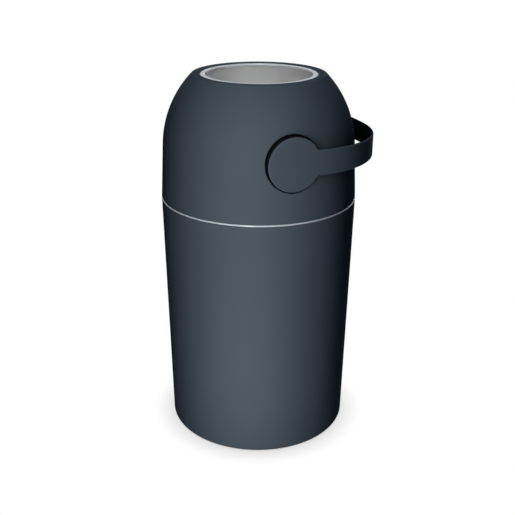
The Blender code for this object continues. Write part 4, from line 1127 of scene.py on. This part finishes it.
@dataclass
class Seals(Assembly):
    """The soft rings that wipe the drum, under the rim and on the frame."""

    gap: float = 0.0005
    upper: float = 0.0055
    lower: float = 0.004
    edge: float = 0.0003

    def build(self) -> None:
        """Makes both rings."""
        high, seat = PLAN.head_top - PLAN.rim - PLAN.gap, PLAN.frame_top + PLAN.gap
        low, top, ridge = high - self.upper, seat + self.lower, PLAN.ridge - PLAN.gap
        lip, wall, crest = self.lip, self.wall, seat + PLAN.ridge_height
        upper = [(lip(low), low), (wall(low), low), (wall(high), high), (lip(high), high)]
        lower = [(lip(seat), seat), (ridge, seat), (ridge, crest), (lip(top), top)]
        for name, corners in (("upper_seal", upper), ("chute_seal", lower)):
            ring = turned([(*corner, self.edge) for corner in corners])
            self.add(f"{name}_ring", ring, SEAL_RUBBER, name)

    def lip(self, height: float) -> float:
        """Radius of a lip just off the drum: sqrt(ball^2 - (height - pivot)^2) + gap."""
        return math.sqrt(PLAN.drum_radius**2 - (height - PLAN.pivot) ** 2) + self.gap

    def wall(self, height: float) -> float:
        """Radius just inside the head's wall."""
        return float(PLAN.head_radius(height, PLAN.wall + self.gap))


# Drum and handle


@dataclass
class Drum(Assembly):
    """The ball's two halves and the tube of the well."""

    end: float = 0.0937
    skin: float = 0.0022
    flat: float = 0.118
    lip: float = 0.0025
    lip_radius: float = 0.0745
    lip_edge: float = 0.001
    lip_under: float = 0.0005
    seat: float = 0.006
    rim_edge: float = 0.0025
    rim_start: float = 0.003
    tube_edge: float = 0.0004
    outer_points: int = 40
    inner_points: int = 24

    def build(self) -> None:
        """Makes all pieces of the group."""
        self.half("upper", 1.0)
        self.half("lower", -1.0)
        self.tube()

    def half(self, label: str, way: float) -> None:
        """One half of the ball, clipped by the flats at both ends of the axle.

        The outer and the inner skin are arcs of (radius cos a, radius sin a).

        Args:
            label: What the piece's and the node's name end in.
            way: 1 for the half at rest above, -1 for the other.
        """
        radius, end, split = PLAN.drum_radius, self.end, PLAN.gap / 2
        inner, floor = radius - self.skin, end - self.lip
        seat, ledge = PLAN.well_radius + self.skin + PLAN.gap, floor - self.seat
        top = math.asin((end - self.rim_start) / radius)
        turn = np.linspace(math.asin(split / radius), top, self.outer_points)
        outside = radius * np.column_stack([np.cos(turn), np.sin(turn)])
        corners = [
            tuple(outside[-1]),
            (math.sqrt(radius**2 - end**2), end, self.rim_edge),
            (self.lip_radius, end, self.lip_edge), (self.lip_radius, floor, self.lip_under),
            (seat, floor), (seat, ledge), (math.sqrt(inner**2 - ledge**2), ledge),
        ]
        crown = rounded(corners, closed=False)[1:]
        start, stop = math.asin(ledge / inner), math.asin(split / inner)
        turn = np.linspace(start, stop, self.inner_points)[1:]
        inside = inner * np.column_stack([np.cos(turn), np.sin(turn)])
        made = lathed(np.concatenate([outside, crown, inside]))
        distance = np.linalg.norm(made.points, axis=1)
        limit = np.where(distance > radius - self.skin / 2, self.flat, self.flat - self.skin)
        made.points[:, 0] = np.clip(made.points[:, 0], -limit, limit)
        made.points[:, 2] = way * made.points[:, 2] + PLAN.pivot
        self.add(f"ball_{label}", made, PALE_PLASTIC, f"drum_half_{label}")

    def tube(self) -> None:
        """The plain tube between both lips."""
        end, radius = self.end - self.lip - PLAN.gap, PLAN.well_radius
        outer = radius + self.skin
        ways = ((radius, -end), (outer, -end), (outer, end), (radius, end))
        tube = turned([(*way, self.tube_edge) for way in ways])
        self.add("tube_moulding", tube.moved(LIFT), WELL_PLASTIC, "well_tube")


@dataclass
class Handle(Assembly):
    """The flat band with a round disc at each end."""

    face: float = 0.1385
    disc: float = 0.0366
    thickness: float = 0.004
    edge: float = 0.0021
    guard: float = 0.0006
    reach: float = 0.1595
    straight: float = 0.025
    power: float = 2.2
    neck: float = 0.0173
    tip: float = 0.0154
    fillet: float = 0.005
    skirt: float = 0.0025
    skirt_end: float = 0.127
    skirt_edge: float = 0.0004
    skirt_overlap: float = 0.0008
    merge_inset: float = 0.00002
    lead: float = 0.001
    probe: float = 0.0005
    bow_points: int = 2001
    lead_points: int = 60
    disc_points: int = 65
    neck_points: int = 9
    band_points: int = 141

    def build(self) -> None:
        """Makes the handle as one moulding."""
        parts = [self.plate(), *(self.disc_skirt(side) for side in Side)]
        made = self.add("bow_moulding", joined(parts), HANDLE_PLASTIC, "handle")
        # The bow's inside and the discs' sides get painted shade: a near-black colour where shade
        # falls
        self.repaint(made, PAINTED_SHADE_PLASTIC, self.handle_painted_shade)

    def handle_painted_shade(self, centres: np.ndarray) -> np.ndarray:
        """Faces that get painted shade: the bow's inside and the discs' sides, by their depth under
        the outer face.

        Args:
            centres: Array of face centres.

        Returns:
            Which faces they are.
        """
        bow, distance = self.bow()
        along = np.arange(distance[0], distance[-1], self.probe)
        x, y = (np.interp(along, distance, bow[:, i]) for i in (0, 1))
        depth = np.hypot(np.abs(centres[:, 0, None]) - x, centres[:, 1, None] - y).min(axis=1)
        inside = depth > self.thickness - self.edge
        return inside | ((depth > self.edge) & (centres[:, 1] < self.disc))

    def bow(self) -> tuple[np.ndarray, np.ndarray]:
        """The band's outer face from above, from behind the right disc to the tip.

        It is straight up to the bow, then x = face |cos a|^(2 / power) and
        y = straight + (reach - straight) sin(a)^(2 / power).

        Returns:
            The points and their distance along the bow from the disc's centre.
        """
        angle = np.linspace(0.0, math.pi / 2, self.bow_points)
        x = self.face * np.cos(angle) ** (2 / self.power)
        y = self.straight + (self.reach - self.straight) * np.sin(angle) ** (2 / self.power)
        x[-1] = 0.0
        lead = np.linspace(-self.disc - self.lead, self.straight, self.lead_points)[:-1]
        start = np.column_stack([np.full(len(lead), self.face), lead])
        points = np.concatenate([start, np.column_stack([x, y])])
        steps = np.linalg.norm(np.diff(points, axis=0), axis=1)
        return points, np.concatenate([[0.0], np.cumsum(steps)]) + points[0, 1]

    def edge_line(self, inset: float, length: float) -> tuple[np.ndarray, np.ndarray]:
        """Upper half of the plate's outline, from behind the disc to the tip.

        It is an arc of the disc, an arc of the fillet that meets it, and the band's slow taper.

        Args:
            inset: How far inside the outline.
            length: Distance along the bow from the disc's centre to the tip.

        Returns:
            Points of (distance, height), and for each the distance of its point on the middle line.
        """
        drop = self.neck + self.fillet
        centre = math.sqrt((self.disc + self.fillet) ** 2 - drop**2)
        meet = math.atan2(drop, centre)
        turn = np.linspace(math.pi, meet, self.disc_points)
        disc = (self.disc - inset) * np.column_stack([np.cos(turn), np.sin(turn)])
        turn = np.linspace(meet + math.pi, 1.5 * math.pi, self.neck_points)[1:]
        neck = (self.fillet + inset) * np.column_stack([np.cos(turn), np.sin(turn)])
        along = np.linspace(centre, length, self.band_points)[1:]
        share = (along - centre) / (length - centre)
        height = self.neck + (self.tip - self.neck) * share - inset
        line = np.concatenate([disc, neck + (centre, drop), np.column_stack([along, height])])
        under_neck = centre * np.linspace(0.0, 1.0, self.neck_points)[1:]
        return line, np.concatenate([np.zeros(len(disc)), under_neck, along])

    def plate(self) -> Skin:
        """The whole flat plate, carried along the bow.

        Loops run round the outline. Each has an inset, a depth under the outer face and a share of
        the way from the middle line to the outline: first the face, then the rounded edge, the
        side, the other edge and the inner face.

        Returns:
            The closed surface.
        """
        bow, distance = self.bow()
        length = float(distance[-1])
        edge, guard = self.edge, self.guard
        quarter = np.linspace(0.0, math.pi / 2, ARC_STEPS + 1)
        curve = [(edge * (1 - math.sin(a)), edge * (1 - math.cos(a))) for a in quarter]
        curve = [(edge + guard, 0.0), *curve, (0.0, edge + guard / 2)]
        curve += [(inset, self.thickness - depth) for inset, depth in reversed(curve)]
        shares = (0.0, 0.25, 0.5, 0.75)
        rings = [(*curve[0], share) for share in shares] + [(*point, 1.0) for point in curve]
        rings += [(*curve[-1], share) for share in reversed(shares)]
        loops = []
        for inset, depth, share in rings:
            line, middle = self.edge_line(inset, length)
            spine = np.column_stack([middle, np.zeros(len(middle))])
            upper = spine + (line - spine) * share
            other = upper[::-1][1:] * (-1, 1) + (2 * length, 0.0)
            half = np.concatenate([upper, other])
            loop = np.concatenate([half, half[::-1][1:-1] * (1, -1)])
            loops.append(np.column_stack([loop, np.full(len(loop), depth)]))
        return woven(self.wrapped(np.stack(loops), bow, distance))

    def wrapped(self, flat: np.ndarray, bow: np.ndarray, distance: np.ndarray) -> np.ndarray:
        """Carries flat points onto the bow.

        A point at distance s and depth t lies at bow(s) - normal(s) t. Past the tip, it is the
        mirror image of the point as far before the tip.

        Args:
            flat: Points of (distance, height, depth).
            bow: Points of the bow from above, at +X.
            distance: Their distance along the bow.

        Returns:
            Points in space.
        """
        along, height, depth = flat[..., 0], flat[..., 1], flat[..., 2]
        mirrored = along > distance[-1]
        folded = np.where(mirrored, 2 * distance[-1] - along, along)
        slope = np.gradient(bow, distance, axis=0)
        slope[-1] = (-1.0, 0.0)
        slope /= np.linalg.norm(slope, axis=1, keepdims=True)
        x, y = (np.interp(folded, distance, bow[:, i]) for i in (0, 1))
        out_x, out_y = (np.interp(folded, distance, way) for way in (slope[:, 1], -slope[:, 0]))
        size = np.hypot(out_x, out_y)
        x, y = x - out_x / size * depth, y - out_y / size * depth
        return np.stack([np.where(mirrored, -x, x), y, height + PLAN.pivot], axis=-1)

    def disc_skirt(self, side: Side) -> Skin:
        """Skirt round the back of a disc, down into the pocket.

        Args:
            side: Which disc.

        Returns:
            The closed ring.
        """
        outer, inner, low = self.disc - self.merge_inset, self.disc - self.skirt, self.skirt_end
        front, edge = self.face - self.edge - self.skirt_overlap, self.skirt_edge
        corners = [(inner, low, edge), (outer, low, edge), (outer, front), (inner, front)]
        turn = Matrix.Rotation(side.value * math.pi / 2, 4, "Y")
        return turned(corners).moved(LIFT @ turn)


@dataclass
class Piston(Assembly):
    """The two cups with the wiper between them, and the screws in the lower cup.

    Heights count from the drum's axle.
    """

    bottom: float = -0.0909
    tall: float = 0.026
    radius: float = 0.07496
    rim: float = 0.0025
    plate: float = 0.002
    face_edge: float = 0.0012
    rim_edge: float = 0.0003
    floor_edge: float = 0.001
    boss_radius: float = 0.0048
    boss_start: float = 0.001
    screws: int = 3
    screw_circle: float = 0.06496
    screw_length: float = 0.0138
    sink_radius: float = 0.0035
    sink: float = 0.004
    wiper: float = 0.003
    wiper_width: float = 0.0052
    wiper_edge: float = 0.0002
    wiper_tip: float = 0.0003

    def build(self) -> None:
        """Makes all pieces of the group."""
        low, middle, floor = self.bottom, self.bottom + self.tall / 2, self.bottom + self.sink
        seam = self.wiper / 2 + PLAN.gap
        out = Matrix.Translation((self.screw_circle, 0.0, 0.0))
        turns = [2 * math.pi * i / self.screws for i in range(self.screws)]
        places = [Matrix.Rotation(turn, 4, "Z") @ out for turn in turns]
        hole = rod(self.sink_radius, low - self.sink, floor)
        boss = rod(self.boss_radius, low + self.boss_start, middle)
        upper = self.cup(low + self.tall, middle + seam)
        lower = without(self.cup(low, middle - seam), [hole.moved(place) for place in places])
        bosses = [without(boss.moved(place), [hole.moved(place)]) for place in places]
        pieces = (("upper", upper), ("lower", joined([lower, *bosses])))
        for label, skin in pieces:
            name = f"piston_{label}_moulding"
            self.add(name, skin.moved(LIFT), WELL_PLASTIC, f"piston_cup_{label}")
        screw = PanScrew(self.screw_length).skin()
        sunk = Matrix.Translation((0.0, 0.0, floor - PLAN.gap))
        for i, place in enumerate(places, 1):
            made = screw.moved(LIFT @ place @ sunk)
            self.add(f"piston_fastener_{i}", made, ZINC_STEEL, f"piston_screw_{i}")
        self.ring(middle)

    def cup(self, face: float, rim: float) -> Skin:
        """A cup with its flat face out and its rim towards the wiper.

        Args:
            face: Height of the flat face.
            rim: Height of the rim.

        Returns:
            The closed surface.
        """
        inside = face + math.copysign(self.plate, rim - face)
        outer, inner = self.radius, self.radius - self.rim
        corners = [
            (0.0, face), (outer, face, self.face_edge), (outer, rim, self.rim_edge),
            (inner, rim, self.rim_edge), (inner, inside, self.floor_edge), (0.0, inside),
        ]
        return turned(corners, closed=False)

    def ring(self, middle: float) -> None:
        """The wiper, with a blunt wedge as its lip.

        Args:
            middle: Height of its middle.
        """
        lip, bevel = PLAN.well_radius - PLAN.gap, self.wiper / 3
        low, high, back = middle - self.wiper / 2, middle + self.wiper / 2, lip - self.wiper_width
        edge, tip = self.wiper_edge, self.wiper_tip
        corners = [
            (back, low, edge), (lip - bevel, low, edge), (lip, low + bevel, tip),
            (lip, high - bevel, tip), (lip - bevel, high, edge), (back, high, edge),
        ]
        self.add("wiper_ring", turned(corners).moved(LIFT), SEAL_RUBBER, "piston_wiper")


@dataclass(frozen=True)
class Carried:
    """Nodes that keep the frame's own mesh: a part of their names, and their finish."""

    finishes: tuple[tuple[str, Finish], ...] = (
        ("hub_screw", ZINC_STEEL),
        ("hub_nut", ZINC_STEEL),
        ("piston_weight", ZINC_STEEL),
        ("hub", SHELL_PLASTIC),
        ("bush", BEARING_PLASTIC),
    )

    def dress(self, palette: Palette) -> None:
        """Gives each carried node the first finish that its name asks for.

        Args:
            palette: The materials.
        """
        for name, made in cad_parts.items():
            fitting = [finish for part, finish in self.finishes if part in name]
            if fitting:
                made.data.materials.clear()
                made.data.materials.append(palette.material(fitting[0]))
                LOG.info("%s keeps the frame's mesh, %s", name, fitting[0].name)


# Studio


def facing(way: np.ndarray) -> Matrix:
    """Turn that points the back of a lamp or camera along a direction, with its X level.

    Args:
        way: Direction from the target to the lamp or camera.

    Returns:
        The matrix.
    """
    back = way / np.linalg.norm(way)
    right = np.cross((0.0, 0.0, 1.0), back)
    right /= np.linalg.norm(right)
    up = np.cross(back, right)
    return Matrix(np.stack([right, up, back], axis=1).tolist()).to_4x4()


def spot(azimuth: float, distance: float, height: float) -> np.ndarray:
    """Point at a distance from the bin's axis; azimuth 0 is the front, at -Y."""
    angle = math.radians(azimuth)
    return np.array((distance * math.sin(angle), -distance * math.cos(angle), height))


@dataclass(frozen=True)
class SoftBox:
    """A soft lamp, turned round the bin from the camera and aimed at a height on its axis.

    A beam under 180 degrees narrows its light.
    """

    name: str
    turn: float
    distance: float
    height: float
    width: float
    tall: float
    energy: float
    aim: float = 0.27
    beam: float = 180.0

    def build(self, azimuth: float) -> None:
        """Makes the lamp.

        Args:
            azimuth: The camera's azimuth in degrees, from which the lamp's turn counts.
        """
        data = bpy.data.lights.new(self.name, "AREA")
        data.shape, data.size, data.size_y = "RECTANGLE", self.width, self.tall
        data.energy, data.spread = self.energy, math.radians(self.beam)
        lamp = bpy.data.objects.new(self.name, data)
        lamp.visible_camera = False
        bpy.context.scene.collection.objects.link(lamp)
        place = spot(azimuth + self.turn, self.distance, self.height)
        matrix = facing(place - (0.0, 0.0, self.aim))
        matrix.translation = place
        lamp.matrix_world = matrix


@dataclass
class Studio:
    """Floor, light and camera."""

    azimuth: float = 70.2
    pitch: float = 0.39499
    roll: float = 0.00515
    distance: float = 1.14569
    height: float = 0.73158
    sideways: float = -0.000947
    lens: float = 57.632
    sensor: float = 36.0
    fill: tuple[float, float, float] = (0.004, 0.016, 0.04)
    floor_half: float = 6.0
    floor_drop: float = 0.0004
    floor_bounce: float = 0.3
    shadow_reach: float = 0.034
    shadow_depth: float = 0.52
    shadow_rays: int = 32
    boxes: tuple[SoftBox, ...] = (
        SoftBox("key", -8.0, 0.355, 0.36, 0.05, 1.5, 1.62, 0.36),
        SoftBox("foot", -8.0, 0.42, 0.07, 0.1, 0.12, 0.37, 0.05),
        SoftBox("brow", -8.0, 0.44, 0.54, 0.13, 0.22, 0.27, 0.43),
        SoftBox("top", 0.0, 0.09, 1.55, 0.42, 0.42, 2.5),
        SoftBox("mouth", 6.0, 0.30, 0.95, 0.04, 0.04, 0.022, 0.53, 17.0),
        SoftBox("back", 180.0, 0.60, 0.27, 0.30, 0.6, 0.55),
        SoftBox("back_left", -149.0, 0.36, 0.27, 0.08, 0.6, 0.8),
        SoftBox("back_right", 149.0, 0.36, 0.27, 0.08, 0.6, 0.9),
    )

    def build(self) -> None:
        """Sets up everything round the bin."""
        self.floor()
        self.world()
        for box in self.boxes:
            box.build(self.azimuth)
        self.camera()
        bpy.context.scene.view_settings.view_transform = "Standard"

    def floor(self) -> None:
        """White floor that the bin darkens close to its foot.

        Where it shows, it glows as a floor does under even light: white, times the share of the
        space above that the bin leaves open. It throws back little light onto the bin's sides.
        """
        material, tree = blank("floor_white_matt")
        shown = self.shown(tree)
        reach = {"Distance": self.shadow_reach}
        near = added(tree, "AmbientOcclusion", None, reach, samples=self.shadow_rays)
        ends = {"To Min": self.shadow_depth, "To Max": 1.0}
        shade = added(tree, "MapRange", {"Value": near.outputs["AO"]}, ends).outputs["Result"]
        strength = added(tree, "Math", {0: shown, 1: shade}, operation="MULTIPLY").outputs[0]
        glow = added(tree, "Emission", {"Strength": strength}, {"Color": WHITE})
        ends = {"To Min": self.floor_bounce, "To Max": 0.0}
        bounce = added(tree, "MapRange", {"Value": shown}, ends).outputs["Result"]
        matt = added(tree, "BsdfDiffuse", {"Color": bounce})
        both = added(tree, "AddShader", {0: glow.outputs[0], 1: matt.outputs[0]})
        added(tree, "OutputMaterial", {"Surface": both.outputs[0]})
        half, level = self.floor_half, -self.floor_drop
        corners = ((-half, -half), (half, -half), (half, half), (-half, half))
        points = np.array([(*corner, level) for corner in corners])
        made = solid("floor", Skin(points, [[0, 1, 2, 3]]))
        made.data.materials.append(material)
        made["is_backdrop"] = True

    def shown(self, tree: bpy.types.NodeTree) -> bpy.types.NodeSocket:
        """1 for rays that show the background: from the camera, off metal and through glass.

        Args:
            tree: Tree that takes the nodes.

        Returns:
            The value.
        """
        rays = added(tree, "LightPath").outputs
        value = rays["Is Camera Ray"]
        for kind in ("Is Glossy Ray", "Is Transmission Ray"):
            value = added(tree, "Math", {0: value, 1: rays[kind]}, operation="MAXIMUM").outputs[0]
        return value

    def world(self) -> None:
        """White world for the camera and for reflections, and a dim cool fill for the rest."""
        world = bpy.data.worlds.new("studio")
        bpy.context.scene.world = world
        world.use_nodes = True
        tree = world.node_tree
        tree.nodes.clear()
        ends = {6: (*self.fill, 1.0), 7: WHITE}
        colour = added(tree, "Mix", {0: self.shown(tree)}, ends, data_type="RGBA").outputs[2]
        sky = added(tree, "Background", {"Color": colour})
        added(tree, "OutputWorld", {"Surface": sky.outputs[0]})

    def camera(self) -> None:
        """Camera at the photograph's place."""
        data = bpy.data.cameras.new("camera")
        data.lens, data.sensor_width = self.lens, self.sensor
        made = bpy.data.objects.new("camera", data)
        bpy.context.scene.collection.objects.link(made)
        bpy.context.scene.camera = made
        back = spot(self.azimuth, math.cos(self.pitch), math.sin(self.pitch))
        matrix = facing(back) @ Matrix.Rotation(self.roll, 4, "Z")
        aside = spot(self.azimuth + 90.0, self.sideways, 0.0)
        matrix.translation = spot(self.azimuth, self.distance, self.height) + aside
        made.matrix_world = matrix


def plain(value: object) -> object:
    """Turns vectors and tuples into plain lists of numbers.

    Args:
        value: A number or a nest of sequences.

    Returns:
        The same as lists.
    """
    if isinstance(value, (int, float)):
        return float(value)
    return [plain(item) for item in value]


def main() -> None:
    """Builds the pieces, the studio and the camera."""
    logging.basicConfig(level=logging.INFO, format="%(message)s")
    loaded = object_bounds()
    palette = Palette()
    Tub(palette, Body.BIN).build()
    BagRing(palette, Body.BIN).build()
    CatchSpring(palette, Body.BIN).build()
    HingeBase(palette, Body.BIN).build()
    Shell(palette, Body.HEAD).build()
    HeadFrame(palette, Body.HEAD).build()
    Seals(palette, Body.HEAD).build()
    Drum(palette, Body.DRUM).build()
    Handle(palette, Body.DRUM).build()
    Piston(palette, Body.PISTON).build()
    Carried().dress(palette)
    Studio().build()
    {"loaded": plain(loaded), "dressed": plain(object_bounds())}


if __name__ == "__main__":
    main()
